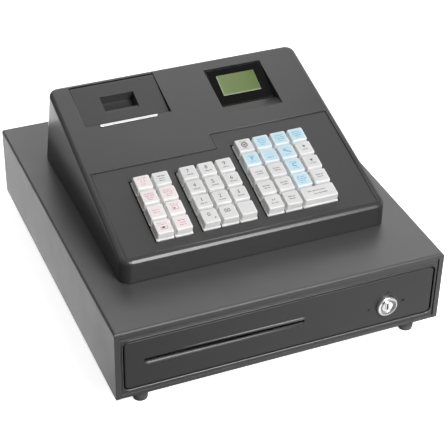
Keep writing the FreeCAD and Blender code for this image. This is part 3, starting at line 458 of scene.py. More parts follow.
def glyphs(mesh, text, centre, index):
    """Digits lying flat about a centre, as thin as ink."""
    curve = bpy.data.curves.new("digits", "FONT")
    curve.body = text
    curve.size = DIGIT_SIZE
    curve.align_x = curve.align_y = "CENTER"
    curve.extrude = PRINT / 2
    curve.resolution_u = 4
    holder = bpy.data.objects.new("digits", curve)
    flat = bpy.data.meshes.new_from_object(holder)
    flat.transform(Matrix.Translation(centre))
    before = len(mesh.faces)
    mesh.from_mesh(flat)
    mesh.faces.ensure_lookup_table()
    for face in mesh.faces[before:]:
        face.material_index = index
    bpy.data.objects.remove(holder)
    bpy.data.meshes.remove(flat)


# -------- keys

CAP_SKIRT = 10.6  # from a cap's top down to its foot
CAP_WALL = 1.3
LABEL_SINK = 0.12
LABEL_INSET = 2.1  # from a cap's side to its label
LABEL_THICK = 0.06
DIGIT_SIZE = 6.2
CORNERS = ((-1, -1), (1, -1), (1, 1), (-1, 1))  # a rectangle's, in order

# What each block's keys carry, row by row from the front: a pattern and its ink, grey if none is named.
KEY_PRINT = {
    "left": [
        ["note_box rose", "heading red"],
        ["lines rose", "tick_box rose"],
        ["triple red", "triple rose"],
        ["columns rose", "heading"],
    ],
    "middle": [
        ["digit 0 point", "digit 00", "blank"],
        *([f"digit {first + column} line" for column in range(3)] for first in (1, 4, 7)),
    ],
    "right": [
        ["ticks", "lines", "long_lines"],
        ["lines", "lines", "triple blue", "lines"],
        ["lines", "lines", "corner_arrow blue", "arrow dark"],
        ["flag blue", "line blue", "slant blue", "arrow dark"],
        ["round dark", "triple blue", "triple blue", "triple blue"],
    ],
}

# Marks in mm about a key's middle: x, y, width, height, and an ink where it isn't the key's own.
LINES = {
    "line": [(0.2, -2.9, 7, 1.25)],
    "lines": [(0, 1.5, 7.6, 1.35), (0.2, -1.3, 6.2, 1.35)],
    "long_lines": [(-1.5, 2.2, 19, 1.35), (1.5, -1.6, 15, 1.35)],
    "triple": [(-0.2, 3.4, 8.4, 1.3), (0, 0.9, 9.2, 1.3), (0.4, -1.6, 7.4, 1.3), (0, -4, 5.4, 1.1)],
    "heading": [(0, 2.6, 7.6, 1.6), (0.2, -0.4, 6, 1.2), (0, -3, 6.6, 1.1)],
    "ticks": [(0.2, -1.8, 7.2, 1.25)],
    "columns": [(0, 4.4, 8.6, 1.1), (0.2, -2.9, 5, 1.1)],
    "tick_box": [(0, 4.2, 8.6, 1.2)],
    "note_box": [(-0.4, 4.2, 8.6, 1.1), (-0.2, 2.2, 8.8, 1.1)],
    "arrow": [(0.2, -1.8, 6, 1.2, "grey")],
    "corner_arrow": [(0, 4.4, 7, 1), (0.2, -3.6, 6.4, 1)],
    "slant": [(0.4, 4.3, 6.6, 0.9), (-0.2, -3.9, 6, 0.9)],
    "flag": [(0.2, 3.6, 6.4, 1), (0.1, -3.6, 6, 1)],
    "round": [(0, 4.9, 7.4, 1, "grey"), (0, -3.9, 5.6, 0.9, "grey")],
}
SIGNS = {
    "ticks": [(-1.1, 2.2, 0.8, 2.2), (1.1, 2.2, 0.8, 2.2)],
    "columns": [(-1.5, 0.9, 0.8, 3.4), (1.6, 0.9, 0.8, 3.4)],
    "tick_box": [(-0.2, 2, 6.2, 0.7), (-0.2, -2.6, 6.2, 0.7), (-3, -0.3, 0.7, 4), (2.6, -0.3, 0.7, 4),
                 (-1.2, -1, 1.8, 1.6, "dark")],
    "note_box": [(3.4, -1.6, 0.8, 4), (0, -3.5, 6.8, 0.7), (-3, -1.6, 0.6, 3.2), (-0.4, -1.4, 3.2, 2, "dark")],
    "arrow": [(0.1, 1.6, 0.9, 2.6), (0.1, 2.7, 2.6, 1.2)],
    "corner_arrow": [(0.9, 2.4, 4.2, 1.1), (-1.5, 1, 1.1, 3.2), (-0.3, -0.7, 3.2, 1.1), (1, -1.4, 1.2, 1.8)],
    "slant": [(-2.2, 2.5, 2.8, 1.6), (-0.6, 1.2, 2.4, 1.5), (1.2, 0, 2.6, 1.5), (2.9, -1.3, 2, 1.5)],
    "flag": [(0.9, 1.9, 3.4, 1.2), (0.4, 0.7, 2.2, 1.2), (0, -0.9, 1.3, 2.4)],
}


def cap_mesh(mesh, low, high):
    """A hollow key cap with a rim round its foot, soft edges, a sunk place for its label and a stem."""
    centre = ((low.x + high.x) / 2, (low.y + high.y) / 2)
    half_x = (high.x - low.x) / 2
    half_y = (high.y - low.y) / 2
    top = high.z
    skirt = top - CAP_SKIRT
    # each ring's inset, height and corner, from the hollow's ceiling down to the foot and up over the outside
    levels = [
        (2.9, top - CAP_WALL, 0.6), (1.3, skirt, 0.5), (0.25, skirt, 0.8), (0, skirt + 0.25, 1.0),
        (0, skirt + 1.7, 1.0), (0.12, skirt + 1.95, 1.1), (0.65, skirt + 2.1, 1.1), (0.78, skirt + 2.4, 1.2),
        (0.86, skirt + 5, 1.2), (0.96, top - 1.7, 1.3), (1.04, top - 1.0, 1.4), (1.18, top - 0.45, 1.5),
        (1.44, top - 0.12, 1.4), (1.8, top, 1.2), (1.95, top - 0.02, 1.1), (LABEL_INSET, top - LABEL_SINK, 1.0),
    ]
    loft(mesh, [round_rectangle(half_x - inset, half_y - inset, corner, z, centre)
                for inset, z, corner in levels])
    stem_z = (low.z + top - CAP_WALL) / 2
    plate(mesh, (*centre, stem_z), (2, 2, stem_z - low.z), 0.5, 0.3)
    return centre, half_x - LABEL_INSET, half_y - LABEL_INSET, top - LABEL_SINK


def flat_box(mesh, x, y, width, height, surface, index):
    """A rectangle of ink lying on a surface."""
    corners = [(x + side_x * width / 2, y + side_y * height / 2) for side_x, side_y in CORNERS]
    loft(mesh, [[Vector((*corner, z)) for corner in corners] for z in (surface, surface + PRINT)], index)


def words(mesh, centre, mark, surface, index, chance):
    """A line of small unreadable print: short strokes of uneven height, in groups."""
    x, y, width, height = mark[:4]
    at = x - width / 2
    end = x + width / 2
    run = chance.randint(3, 6)
    while at < end - 0.4:
        letter = chance.uniform(0.42, 0.72)
        tall = height * chance.choice((0.72, 0.8, 1.0))
        middle = centre[0] + at + letter / 2
        flat_box(mesh, middle, centre[1] + y - (height - tall) / 2, letter, tall, surface, index)
        run -= 1
        at += letter + (0.24 if run else 0.75)
        run = run or chance.randint(3, 6)


def add_print(mesh, spec, centre, surface, chance):
    """Lay a key's printed marks on its label."""
    kind, *rest = spec.split()
    own = rest[-1] if rest and rest[-1] in INKS else "grey"
    dark = INK_LOOKS["dark"]
    mid_x, mid_y = centre

    def look_of(mark):
        return INK_LOOKS[mark[4] if len(mark) > 4 else own]

    if kind == "digit":
        glyphs(mesh, rest[0], Vector((mid_x - 0.6, mid_y + 1.7, surface + PRINT / 2)), dark)
        if rest[-1] == "point":
            flat_box(mesh, mid_x + 4.4, mid_y - 3.2, 1.2, 1.2, surface, dark)
        kind = "line" if rest[-1] == "line" else kind
    if kind == "round":
        rings = [circle(radius, surface + rise, (mid_x, mid_y + 0.6), 28)
                 for radius, rise in ((3.3, 0), (2.3, 0), (2.3, PRINT), (3.3, PRINT))]
        loft(mesh, rings, dark, loop=True)
        for y, width in ((1.4, 3.4), (0.5, 3.0), (-0.4, 2.2)):
            flat_box(mesh, mid_x, mid_y + y, width, 0.6, surface, dark)
    for mark in LINES.get(kind, []):
        words(mesh, centre, mark, surface, look_of(mark), chance)
    for mark in SIGNS.get(kind, []):
        x, y, width, height = mark[:4]
        flat_box(mesh, mid_x + x, mid_y + y, width, height, surface, look_of(mark))


def add_keys():
    """A cap with its printed label for every key in the frame."""
    chance = random.Random(7)
    for body, nodes in frame["record"]["behaviour"]["bodies"].items():
        if not body.startswith("key_"):
            continue
        node = nodes[0]
        block, row, column = node.removeprefix("key_").split("_")
        slot = slot_of[node]
        low, high = box_of(node, DECK)
        mesh = bmesh.new()
        centre, half_x, half_y, surface = cap_mesh(mesh, low, high)
        half = (half_x, half_y, LABEL_THICK / 2)
        plate(mesh, (*centre, surface + LABEL_THICK / 2), half, 0.9, LABEL_THICK / 3, 1)
        spec = KEY_PRINT[block][int(row[1:]) - 1][int(column[1:]) - 1]
        add_print(mesh, spec, centre, surface + LABEL_THICK, chance)
        piece(node + "_cap", mesh, body, [slot, LABELS[slot], *INKS.values()], turn=DECK, replaces=[node])


# -------- display

WINDOW_GAUGE = 2


def window_axes():
    """The display window's own axes: the deck's, turned by its extra tilt."""
    low, high = box_of("display_window", DECK)
    return DECK @ Matrix.Rotation(math.atan2(high.z - low.z - WINDOW_GAUGE, high.y - low.y), 4, "X")


def frame_ring(mesh, outer, inner, low_z, high_z, edge, index):
    """A round-cornered frame: outer and inner are (middle, half_x, half_y, corner)."""
    low_edge = high_z - edge * 0.3
    rings = []
    for (middle, half_x, half_y, corner), grow, z in (
            (outer, -edge, low_z), (outer, 0, low_z + edge), (outer, 0, high_z - edge),
            (outer, -edge * 0.3, low_edge), (outer, -edge, high_z), (inner, edge, high_z),
            (inner, edge * 0.3, low_edge), (inner, 0, high_z - edge), (inner, 0, low_z)):
        rings.append(round_rectangle(half_x + grow, half_y + grow, max(corner + grow, 0.1), z, middle))
    loft(mesh, rings, index, loop=True)


def add_display():
    """The glossy window with its raised rim, and the liquid-crystal panel with its pale edges."""
    turn = window_axes()
    low, high = box_of("display_window", turn)
    middle = (low + high) / 2
    half = (high - low) / 2 - Vector((0.05, 0.05, 0))
    panel_low, panel_high = box_of("lcd_module", turn, lambda point: point.z > high.z - 1.2)
    panel = (panel_low + panel_high) / 2
    panel_x, panel_y = (panel_high - panel_low).xy / 2
    rim_width = 2.0
    inner_x = half.x - rim_width
    inner_y = half.y - rim_width
    glass_top = high.z - 0.5
    mesh = bmesh.new()
    hole = (middle, inner_x, inner_y, 1.4)
    frame_ring(mesh, (middle, half.x, half.y, 2.2), hole, low.z + 0.1, high.z, 0.35, 0)
    frame_ring(mesh, (middle, inner_x + 0.05, inner_y + 0.05, 1.4), (panel, panel_x + 0.6, panel_y + 0.6, 0.6),
               low.z + 0.2, glass_top, 0.25, 1)
    rim = grained("window_rim", 0.008, 0.3, 2400, 0.01, 0.3, 1.0, specular=0.25)
    piece("display_glass", mesh, "housing", [rim, "window_gloss"], turn=turn, replaces=["display_window"])

    # the crystal with its pale edges, its lit face a little to the back right, and the board behind it
    x, y, _ = panel
    panel_x += 0.5
    panel_y += 0.5
    floor = glass_top - 1.6
    crown = glass_top - 0.02
    lit = 0.75
    mesh = bmesh.new()
    plate(mesh, (x, y, (floor + crown) / 2), (panel_x, panel_y, (crown - floor) / 2), 0.5, 0.3, 1)
    plate(mesh, (x + 0.4, y + 0.4, crown + 0.02), (panel_x - lit, panel_y - lit, 0.04), 0.4, 0.01, 0)
    plate(mesh, (x, y, floor - 1.6), (panel_x + 2.5, panel_y + 2, 1.5), 0.8, 0.3, 2)
    board = grained("lcd_board", 0.03, 0.45, 900)
    pale = cap_plastic("lcd_edge", (0.36, 0.42, 0.27))
    piece("lcd_panel", mesh, "housing", ["lcd_green", pale, board], turn=turn, replaces=["lcd_module"])


# -------- printer

def add_tear_bar():
    """Steel strip in a dark surround, painted shade for the gap round it, with rounded ends and fine teeth along
    its back edge.
    """
    low, high = box_of("tear_bar", DECK)
    deck = box_of("keyboard_cover", DECK)[1].z + INSET_SINK
    x, y, z = (low + high) / 2
    half_x = (high.x - low.x) / 2
    half_y = (high.y - low.y + 0.7) / 2
    mesh = bmesh.new()
    plate(mesh, (x, y, z), (half_x, half_y, (high.z - low.z) / 2), half_y, 0.6)
    # a dark surround round the strip: painted shade standing for the gap it sits in
    plate(mesh, (x, y, deck - 0.6), (half_x + 1.0, half_y + 0.75, 0.72), half_y + 0.7, 0.3, 1)
    pitch = 1.2
    ends = 4
    count = int((high.x - low.x - ends) / pitch)
    for index in range(count):
        middle = x + (index - (count - 1) / 2) * pitch
        foot = ((middle - pitch * 0.45, -0.5), (middle + pitch * 0.45, -0.5), (middle, 0.35))
        loft(mesh, [[Vector((across, y + half_y + back, high.z - down)) for across, back in foot]
                    for down in (1, 0.5)])
    looks = ["tear_steel", rubber("tear_surround_painted_shade", 0.012)]
    piece("tear_strip", mesh, "housing", looks, turn=DECK, replaces=["tear_bar"])


def add_finger_pocket():
    """The pocket under the lid's finger opening: walls, a sloping floor and a ledge with a rolled edge."""
    low, high = box_of("printer_lid", DECK)
    points = [point for point in points_of("printer_lid", DECK) if low.x + 10 < point.x < high.x - 20]
    left, right = (pick(point.x for point in points) for pick in (min, max))
    front, back = (pick(point.y for point in points) for pick in (min, max))
    near, far = (max(point.z for point in points if abs(point.y - y) < 0.1) for y in (front, back))
    tilt = Matrix.Translation((0, front, near)) @ Matrix.Rotation(math.atan2(far - near, back - front), 4, "X")
    wall = 1.2
    under = -2.3  # the underside of the lid, below its face
    deep = 11
    half_x = (right - left) / 2
    half_y = (back - front) / 2
    middle = (left + right) / 2
    side_x = half_x + wall / 2
    side = (wall / 2, half_y + wall, deep / 2)
    wall_z = under - deep / 2
    mesh = bmesh.new()
    for centre, half, edge, look in (
            ((middle - side_x, half_y, wall_z), side, 0.3, 0),
            ((middle + side_x, half_y, wall_z), side, 0.3, 0),
            ((middle, 2 * half_y + wall / 2, wall_z), (half_x + wall, wall / 2, deep / 2), 0.3, 0),
            ((middle, half_y, under - deep + 0.5), (half_x + wall, half_y, 0.5), 0.2, 1),
            ((middle, 1.7, under + 0.3), (half_x, 1.7, 0.5), 0.4, 0)):
        plate(mesh, centre, half, 0.4, edge, look)
    turned(mesh.verts, tilt)
    # the floor takes the slightly darker printer plastic: painted shade at the bottom of the pocket
    piece("finger_pocket", mesh, "printer_lid", ["lid_plastic", "printer_plastic"], turn=DECK)


def add_platen():
    """Rubber roller, steel shaft and the toothed drive gear."""
    low, high = box_of("platen_roller")
    place = joint_place("platen_spin")
    shaft_reach = 4.9
    gear_right = max(point.x for point in points_of("platen_roller")
                     if math.hypot(point.y - place.y, point.z - place.z) > shaft_reach)
    gear_width = 3
    radius = (high.z - low.z) / 2
    right = gear_right - gear_width - 4
    left = 2 * place.x - right
    roll = radius - 0.3
    mesh = bmesh.new()
    lathe(mesh, [(1.5, low.x), (2, low.x + 0.5), (2, high.x - 0.5), (1.5, high.x)], 32, 1)
    lathe(mesh, [(roll - 0.4, left), (roll, left + 0.4), (roll, right - 0.4), (roll - 0.4, right)])
    teeth = 18
    root = radius - 0.9
    ring = []
    for tooth in range(teeth):
        for share, reach in ((0.0, root), (0.22, root), (0.38, radius), (0.62, radius), (0.78, root)):
            turn = 2 * math.pi * (tooth + share) / teeth
            ring.append((reach * math.cos(turn), reach * math.sin(turn)))
    loft(mesh, [[Vector((x, y, z)) for x, y in ring] for z in (gear_right - gear_width, gear_right)], index=2)
    turned(mesh.verts, facing("Y", 90, (0, place.y, place.z)))
    gear = cap_plastic("gear_plastic", (0.62, 0.62, 0.58))
    steel = metal("shaft_steel", 0.6, 0.22, 0, (0.05, 1, 1))
    piece("platen", mesh, "platen_roller", ["platen_rubber", steel, gear], replaces=["platen_roller"])


# -------- drawer

NOTCH_TURN = math.radians(-40)  # from straight up, towards the left


def add_lock():
    """Chromed bezel with a stepped, polished ring, the plug with its keyhole, and ink spots round the lock that
    mark its positions.
    """
    place = joint_place("lock_turn")
    low, high = box_of("lock_barrel")
    radius = (high.x - low.x) / 2
    depth = high.y - low.y
    plug_low, plug_high = box_of("lock_plug", keep=lambda point: point.y < high.y - 2)
    bore = (plug_high.x - plug_low.x) / 2
    to_front = facing("X", -90, (place.x, low.y, place.z))
    # dark plastic for the keyhole and the notch: painted shade where the lock has hollows
    dark = grained("keyhole_painted_shade", 0.006, 0.5, 2400, 0.02)
    # the turned profile runs from the bezel's mouth, over its rim and back along the barrel
    profile = [
        (bore + 0.15, depth), (bore + 0.15, 1.1), (bore + 0.4, 0.75), (bore + 1.2, 0.55), (bore + 2.4, 0.2),
        (radius - 1.6, 0.02), (radius - 1.0, 0.08), (radius - 0.5, 0.35), (radius - 0.15, 0.9), (radius, 1.6),
        (radius, 3.1), (radius - 1.5, 3.2), (radius - 1.5, depth),
    ]
    mesh = bmesh.new()
    turned(loft(mesh, [circle(r, z, steps=72) for r, z in profile], loop=True), to_front)
    # the notch in the ring is a dark patch: painted shade standing for the cut
    notch = plate(mesh, (0, -(bore + 1.5), 0.35), (1.7, 1.0, 0.3), 0.7, 0.1, 1)
    turned(notch, to_front @ Matrix.Rotation(NOTCH_TURN, 4, "Z"))
    piece("lock_bezel", mesh, "drawer", ["lock_chrome", dark], sharp=50, replaces=["lock_barrel"])

    face = plug_low.y - low.y
    core = [(0.01, face), (bore - 0.9, face), (bore - 0.25, face + 0.15), (bore, face + 0.6),
            (bore, depth + 0.4)]
    cam_low, cam_high = box_of("lock_plug", keep=lambda point: point.y > high.y)
    cam_half = (cam_high - cam_low) / 2
    mesh = bmesh.new()
    turned(lathe(mesh, core, 72), to_front)
    turned(plate(mesh, (0, 0, 0), cam_half.xzy, 3, 0.3), facing("X", -90, (cam_low + cam_high) / 2))
    # the keyhole: a raised surround, and a dark slot with a side cut, flat patches of painted shade standing for
    # the hole
    for x, y, rise, half, corner, edge, look in (
            (0, 0, -0.05, (2.3, 4.6, 0.25), 2.2, 0.12, 0),
            (0, 0, -0.3, (0.75, 3.7, 0.05), 0.7, 0.02, 1),
            (0.7, 1.2, -0.3, (0.5, 0.9, 0.05), 0.3, 0.02, 1)):
        turned(plate(mesh, (x, y, face + rise), half, corner, edge, look), to_front)
    piece("lock_core", mesh, "lock_plug", ["lock_chrome", dark], sharp=50, replaces=["lock_plug"])

    # the spots of ink round the lock that mark its positions: across and up from the lock, and their radius
    panel = box_of("drawer_front")[0].y
    mesh = bmesh.new()
    for x, z, size in ((-19, -0.5, 1.3), (0.3, 15.6, 1.1), (18, 1.2, 1.7)):
        to_spot = facing("X", -90, (place.x + x, panel - 0.02, place.z + z))
        turned(lathe(mesh, [(size, 0), (size, 0.1)], 24), to_spot)
    piece("lock_position_marks", mesh, "drawer", [grained("mark_ink", 0.012, 0.5, 2400, 0.02, specular=0.2)])


def add_slot_lips():
    """Rolled lips of the media slot: the lower swells to the left and the upper to the right."""
    low, high = opening_box("media_slot")
    length = high.x - low.x + 2
    depth = box_of("drawer_front")[0].y + 0.75
    blunt = 2.2
    count = 40
    mesh = bmesh.new()
    # each lip's edge, its way into the slot, the radius of its thin and thick end, how far it is drawn back
    for edge, inward, thin, thick, back in ((low.z, 1, 0.6, 2.4, 3.2), (high.z, -1, 0.2, 2.2, 2.4)):
        path = []
        radii = []
        for i in range(count + 1):
            share = 0.5 - 0.5 * math.cos(math.pi * i / count)
            swell = (1 - share if inward > 0 else share) ** 0.8
            end = min(1.0, min(share, 1 - share) * length / blunt)
            radii.append((thin + (thick - thin) * swell) * max(0.15, math.sqrt(end * (2 - end))))
            path.append(Vector((low.x - 1 + share * length, depth, edge + inward * (radii[-1] - back))))
        tube(mesh, path, radii, 16)
    # the lips take a lighter, glossier copy of the drawer paint: painted highlight on the rolled edges
    lip = grained("lip_painted_highlight", 0.07, 0.34, 1700, 0.03, specular=0.6)
    piece("slot_lips", mesh, "drawer", [lip], "drawer_paint", sharp=60)


def add_clips():
    """Bill holders: a bent steel blade for each bay on one rod, with a rubber roller at its tip."""
    low, high = box_of("bill_clips")
    hinge = joint_place("bill_clip_lift")
    to_x = facing("Y", 90, (0, hinge.y, hinge.z))
    rod = 2
    collar = rod + 0.9
    roller = 2 * rod
    tip_y = low.y + roller
    tip_z = low.z + roller
    half_width = 8
    gauge = 0.7
    bend = 0.72  # where along the blade it starts to bend down
    steps = 24
    mesh = bmesh.new()
    bar = [(rod - 0.4, low.x), (rod, low.x + 0.4), (rod, high.x - 0.4), (rod - 0.4, high.x)]
    turned(lathe(mesh, bar, 32), to_x)
    for bay in range(1, 5):
        bay_low, bay_high = opening_box(f"bill_bay_{bay}_back")
        middle = (bay_low.x + bay_high.x) / 2
        left = middle - half_width
        right = middle + half_width
        rings = []
        for i in range(steps + 1):
            share = i / steps
            bow = math.sin(math.pi * min(share, 0.8) / 0.8) * 1.2
            drop = (max(0.0, share - bend) / (1 - bend)) ** 1.8
            y = hinge.y + (tip_y - hinge.y) * share
            z = hinge.z + bow - (hinge.z - tip_z - 1) * drop
            narrow = half_width * (1 - 0.25 * share)
            rings.append([Vector((middle + side * narrow, y, z + rise * gauge)) for side, rise in CORNERS])
        loft(mesh, rings)
        turned(lathe(mesh, [(rod, left), (collar, left + 0.3), (collar, right - 0.3), (rod, right)], 24), to_x)
        roll = [(roller - 0.8, left - 4), (roller, left - 3.2), (roller, right + 3.2),
                (roller - 0.8, right + 4)]
        turned(lathe(mesh, roll, 32, 1), facing("Y", 90, (0, tip_y, tip_z)))
    piece("bill_holders", mesh, "bill_clips", ["clip_steel", "platen_rubber"], replaces=["bill_clips"])


# -------- housing

def screw(mesh, place, normal, radius, index=0, dark=1):
    """A pan-head screw standing out along the normal, its cross a dark patch on the head: painted shade standing
    for the recess.
    """
    height = radius * 0.55
    profile = [(radius, -0.2), (radius, height * 0.35), (radius * 0.82, height * 0.8), (radius * 0.45, height),
               (0.01, height * 1.02)]
    head = lathe(mesh, profile, 28, index)
    for width, depth in ((0.55, 0.11), (0.11, 0.55)):
        head += plate(mesh, (0, 0, height), (radius * width, radius * depth, 0.06), 0.1, 0.02, dark)
    turn = Vector((0, 0, 1)).rotation_difference(normal)
    turned(head, Matrix.Translation(place) @ turn.to_matrix().to_4x4())


def add_coin_scoops():
    """Rounded scoops along the front and back of each coin cup's floor."""
    mesh = bmesh.new()
    steps = 14
    sunk = 0.4  # how deep the scoops reach into the cup's walls and floor
    for cup in range(1, 6):
        low, high = opening_box(f"coin_cup_{cup}")
        for wall, inward, radius in ((low.y, 1, 24), (high.y, -1, 14)):
            arc = [(wall + inward * radius * (1 - math.cos(turn)), low.z + radius * (1 - math.sin(turn)))
                   for turn in (math.pi / 2 * step / steps for step in range(steps + 1))]
            outside = wall - inward * sunk
            arc = [(outside, low.z - sunk), (outside, arc[0][1]), *arc, (arc[-1][0], low.z - sunk)]
            loft(mesh, [[Vector((x, y, z)) for y, z in arc] for x in (low.x - sunk, high.x + sunk)])
    piece("coin_scoops", mesh, "drawer", ["till_plastic"])


def add_rear_details():
    """Screws and ventilation louvres on the case's back, and the contact pin in the power inlet."""
    low, high = box_of("upper_cover")
    crest = [point for point in points_of("upper_cover") if point.z > high.z - 10]
    head = max(crest, key=lambda point: point.y)
    foot = Vector((0, high.y, low.z))
    slope = Vector((0, head.y, head.z)) - foot
    up = slope.normalized()
    out = Vector((0, up.z, -up.y))
    face = Matrix((Vector((-1, 0, 0)), up, out)).transposed().to_4x4()
    face.translation = foot
    mesh = bmesh.new()
    margin = 9
    for x in (19 - high.x, high.x - 19):
        for rise in (margin, slope.length - margin):
            screw(mesh, foot + up * rise + Vector((x, 0, 0)), out, 2.9)
    pitch = 7.5
    for y in (34, 61):
        for column in range(12):
            x = (column - 5.5) * pitch
            # each slit is a flat dark patch under its hood: painted shade standing for the opening
            slit = plate(mesh, (x, y, 0), (1.5, 10.5, 0.06), 1.4, 0.02, 1)
            hood = plate(mesh, (x + 1.9, y, 0.1), (1.1, 11, 0.8), 1.0, 0.7, 2)
            turned(slit + hood, face)
    plated = metal("rear_screw", 0.45, 0.34)
    # dark plastic for the slits and the screws' crosses: painted shade
    dark = grained("rear_painted_shade", 0.006, 0.6, 2400, 0.02)
    piece("rear_details", mesh, "housing", [plated, dark, MATERIALS["case_plastic"]])

    low, high = box_of("power_inlet")
    mesh = bmesh.new()
    pin = [(0.75, low.y + 1), (0.75, high.y - 2.6), (0.45, high.y - 2.0)]
    turned(lathe(mesh, pin, 20), facing("X", -90, ((low.x + high.x) / 2, 0, (low.z + high.z) / 2)))
    piece("inlet_pin", mesh, "housing", [metal("pin_metal", 0.7, 0.2)])


def add_frame_bead():
    """The rolled bead round the drawer's opening."""
    low, high = box_of("drawer_front")
    gap = 2.0
    middle = ((low.x + high.x) / 2, (low.z + high.z) / 2)
    mesh = bmesh.new()
    bead(mesh, round_rectangle((high.x - low.x) / 2 + gap, (high.z - low.z) / 2 + gap, 6.6, 0, middle), 0.7)
    turned(mesh.verts, facing("X", 90, (0, box_of("housing_chassis")[0].y + 1.0, 0)))
    # the bottom run is painted brighter: a painted highlight where it faces up to the light
    for face in mesh.faces:
        face.material_index = int(face.calc_center_median().z < low.z)
    looks = [grained("bead_paint", 0.05, 0.3, 1700, 0.02, specular=0.6),
             grained("bead_painted_highlight", 0.11, 0.26, 1700, 0.02, specular=0.8)]
    piece("frame_bead", mesh, "housing", looks, "frame_paint", sharp=60)


def add_edge_band():
    """The broad, nearly flat band along the case's front edge, a little proud of the rounding under it."""
    low, high = box_of("upper_cover")
    deck = box_of("keyboard_cover", DECK)[1].z + INSET_SINK
    half_x = high.x - 10.5
    face = math.radians(40)  # the way it looks, up from the front
    spread = math.radians(11.5)  # how far it turns to either side of that
    crown = 9
    taper = 2
    steps = 8
    count = 24
    # the rounding's middle lies as far under the deck as behind the front, and the band's own behind it
    round_y = low.y + CASE_ROUND
    round_z = (deck - CASE_ROUND + round_y * math.sin(DECK_ANGLE)) / math.cos(DECK_ANGLE)
    proud = CASE_ROUND + 0.06 - crown
    middle_y = round_y - math.cos(face) * proud
    middle_z = round_z + math.sin(face) * proud
    rings = []
    for i in range(count + 1):
        x = half_x * math.sin(math.pi * (i / count - 0.5))
        end = max(0.0, abs(x) - half_x + taper) / taper
        reach = spread * max(0.15, math.sqrt(max(0.0, 1 - end ** 2)))
        arc = [(crown, face + reach * (2 * step / steps - 1)) for step in range(steps + 1)]
        arc += [(crown - 0.9, face + reach - 0.05), (crown - 0.9, face - reach + 0.05)]
        rings.append([Vector((x, middle_y - r * math.cos(a), middle_z + r * math.sin(a))) for r, a in arc])
    mesh = bmesh.new()
    loft(mesh, rings)
    piece("edge_band", mesh, "housing", ["case_plastic"])


def add_inset_bead():
    """The fine raised line on the case round the keyboard cover, which steps down at its back left."""
    low, high = box_of("keyboard_cover", DECK)
    top = [point for point in points_of("keyboard_cover", DECK) if point.z > high.z - 0.01]
    out = 1.0
    left, front, right, back = low.x - out, low.y - out, high.x + out, high.y + out
    back_left = max(point.y for point in top if point.x < low.x + 1) + out
    step = min(point.x for point in top if point.y > high.y - 0.1) - out
    corners = [(left, front), (right, front), (right, back), (step, back), (step, back_left),
               (left, back_left)]
    mesh = bmesh.new()
    bead(mesh, [Vector((x, y, high.z + INSET_SINK - 0.15)) for x, y in corners], 0.6)
    piece("inset_bead", mesh, "housing", ["case_plastic"], turn=DECK, sharp=60)


def add_feet():
    """Tapered rubber feet with a rounded foot, and the screw that holds each one seen in its middle."""
    low, high = (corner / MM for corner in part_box("rubber_feet"))
    one_low, one_high = box_of("rubber_feet", keep=lambda point: point.x < 0 and point.y < 0)
    radius = (one_high.x - one_low.x) / 2
    height = high.z - low.z
    profile = [
        (radius / 2.4, height * 0.62), (radius / 2.4, 1.0), (radius / 2.2, 0.4), (radius / 2.2 + 0.6, 0),
        (radius * 0.78, 0), (radius * 0.86, 0.4), (radius * 0.9, 1.4), (radius * 0.97, height - 2.0),
        (radius, height - 1.4), (radius, height - 0.02), (radius * 0.5, height - 0.02),
    ]
    mesh = bmesh.new()
    for x in (low.x + radius, high.x - radius):
        for y in (low.y + radius, high.y - radius):
            lathe(mesh, [(r, low.z + z) for r, z in profile], 40, 0, (x, y))
            screw(mesh, Vector((x, y, low.z + height * 0.55)), Vector((0, 0, -1)), radius / 2.8, 1, 2)
    plated = metal("screw_zinc", 0.5, 0.3)
    # dark plastic for the screws' crosses: painted shade in their recesses
    dark = grained("screw_recess_painted_shade", 0.008, 0.6, 2400, 0.02)
    piece("feet", mesh, "housing", ["foot_rubber", plated, dark], replaces=["rubber_feet"])


# -------- studio

CAMERA_AZIMUTH = math.radians(-23.386)
CAMERA_ELEVATION = math.radians(35.298)
CAMERA_ROLL = math.radians(1.262)
CAMERA_TARGET = Vector((5.738, -23.821, 61.135)) * MM
CAMERA_DISTANCE = 1435.31 * MM
CAMERA_LENS = 112.991


def direction(azimuth, elevation):
    """Unit vector towards a place round the object; azimuth 0 is the front and 90 the right."""
    return Vector((math.sin(azimuth) * math.cos(elevation), -math.cos(azimuth) * math.cos(elevation),
                   math.sin(elevation)))


def aim(thing, towards, turn=0.0):
    """Point a camera or a light the way it looks, and turn it about that way."""
    thing.rotation_mode = "QUATERNION"
    thing.rotation_quaternion = towards.to_track_quat("-Z", "Y") @ Quaternion((0, 0, 1), turn)


def add_camera():
    data = bpy.data.cameras.new("camera")
    data.lens = CAMERA_LENS
    data.clip_end = 50
    camera = add_object("camera", data)
    back = direction(CAMERA_AZIMUTH, CAMERA_ELEVATION)
    camera.location = CAMERA_TARGET + back * CAMERA_DISTANCE
    aim(camera, -back, CAMERA_ROLL)
    bpy.context.scene.camera = camera


# Soft lights: azimuth and elevation in degrees about the object's middle, and radiance.
LIT_POINT = Vector((0, 0, 0.08))
SOFTBOX_SIDE = 1.3
SOFTBOX_DISTANCE = 2.2
STRIP = {"azimuth": 15, "elevation": 37, "distance": 1.5, "width": 0.5, "height": 1.3, "radiance": 11}
FLOOR_GLOW = 0.78
SOFTBOXES = {
    "front_right": (22.5, 50, 0.5),
    "back_high": (157.5, 50, 1.5),
    "back_low": (180, 20, 2.1),
    "right_back": (135, 20, 2.4),
    "right_side": (92, 12, 1.0),
    "left_high": (247.5, 50, 0.6),
    "left_back": (202.5, -10, 0.7),
    "bounce_back": (180, -30, 3.0),
    "bounce_right": (45, -40, 1.4),
    "bounce_left": (225, -40, 0.7),
}
ROOM_LIGHT = 0.18
BACKDROP_RADIUS = 6.0
BACKDROP_HEIGHT = 8.0


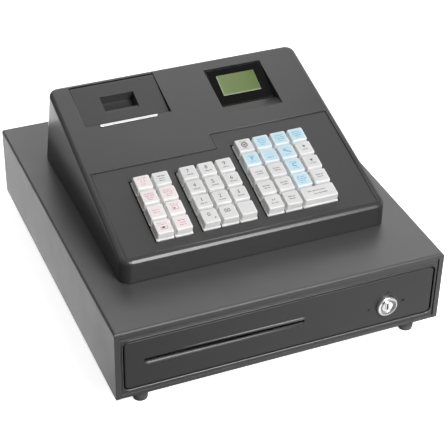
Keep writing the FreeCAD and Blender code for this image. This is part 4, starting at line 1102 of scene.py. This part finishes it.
def add_softbox(name, azimuth, elevation, distance, width, height, radiance):
    """A flat soft light that faces the object, as bright to look at as its radiance says."""
    data = bpy.data.lights.new(name, "AREA")
    data.shape = "RECTANGLE"
    data.size = width
    data.size_y = height
    data.energy = radiance * math.pi * width * height
    light = add_object(name, data)
    back = direction(math.radians(azimuth), math.radians(elevation))
    light.location = LIT_POINT + back * distance
    aim(light, -back)
    light.visible_camera = False


def add_backdrop(name, mesh, material):
    """Part of the set: it shows behind the object and takes its shadow, and sends no light back to it."""
    thing = finished(name, mesh, [material])
    thing.visible_diffuse = False
    thing.visible_glossy = False
    thing.visible_shadow = False


def add_studio():
    """A pale floor and wall, and soft lights round the object, some of them for the floor's bounce."""
    scene = bpy.context.scene
    scene.view_settings.view_transform = "Standard"
    world = bpy.data.worlds.new("room")
    world.use_nodes = True
    scene.world = world
    background = world.node_tree.nodes["Background"]
    background.inputs["Color"].default_value = (1, 1, 1, 1)
    background.inputs["Strength"].default_value = ROOM_LIGHT

    nodes = Nodes("floor_paper")
    tone = nodes.mix(nodes.spread(nodes.noise(9, 4), 0, 1, 0.3, 0.7), grey(0.9), grey(0.93))
    nodes.bump(nodes.noise(500, 2), 0.05)
    glow = {"Emission_Color": (1, 1, 1, 1), "Emission_Strength": FLOOR_GLOW}
    paper = nodes.finish(tone, 0.9, Specular_IOR_Level=0.0, **glow)
    mesh = bmesh.new()
    bmesh.ops.create_circle(mesh, cap_ends=True, segments=64, radius=BACKDROP_RADIUS)
    add_backdrop("floor", mesh, paper)
    mesh = bmesh.new()
    bottom = circle(BACKDROP_RADIUS, 0.0, steps=64)
    loft(mesh, [bottom, [point + Vector((0, 0, BACKDROP_HEIGHT)) for point in bottom]], closed=False)
    bmesh.ops.reverse_faces(mesh, faces=mesh.faces)
    add_backdrop("wall", mesh, paper)

    for name, (azimuth, elevation, radiance) in SOFTBOXES.items():
        add_softbox(name, azimuth, elevation, SOFTBOX_DISTANCE, SOFTBOX_SIDE, SOFTBOX_SIDE, radiance)
    add_softbox("front_strip", **STRIP)


dress_cad_nodes()
add_keys()
add_display()
add_tear_bar()
add_finger_pocket()
add_platen()
add_lock()
add_slot_lips()
add_clips()
add_coin_scoops()
add_frame_bead()
add_edge_band()
add_inset_bead()
add_rear_details()
add_feet()
add_camera()
add_studio()
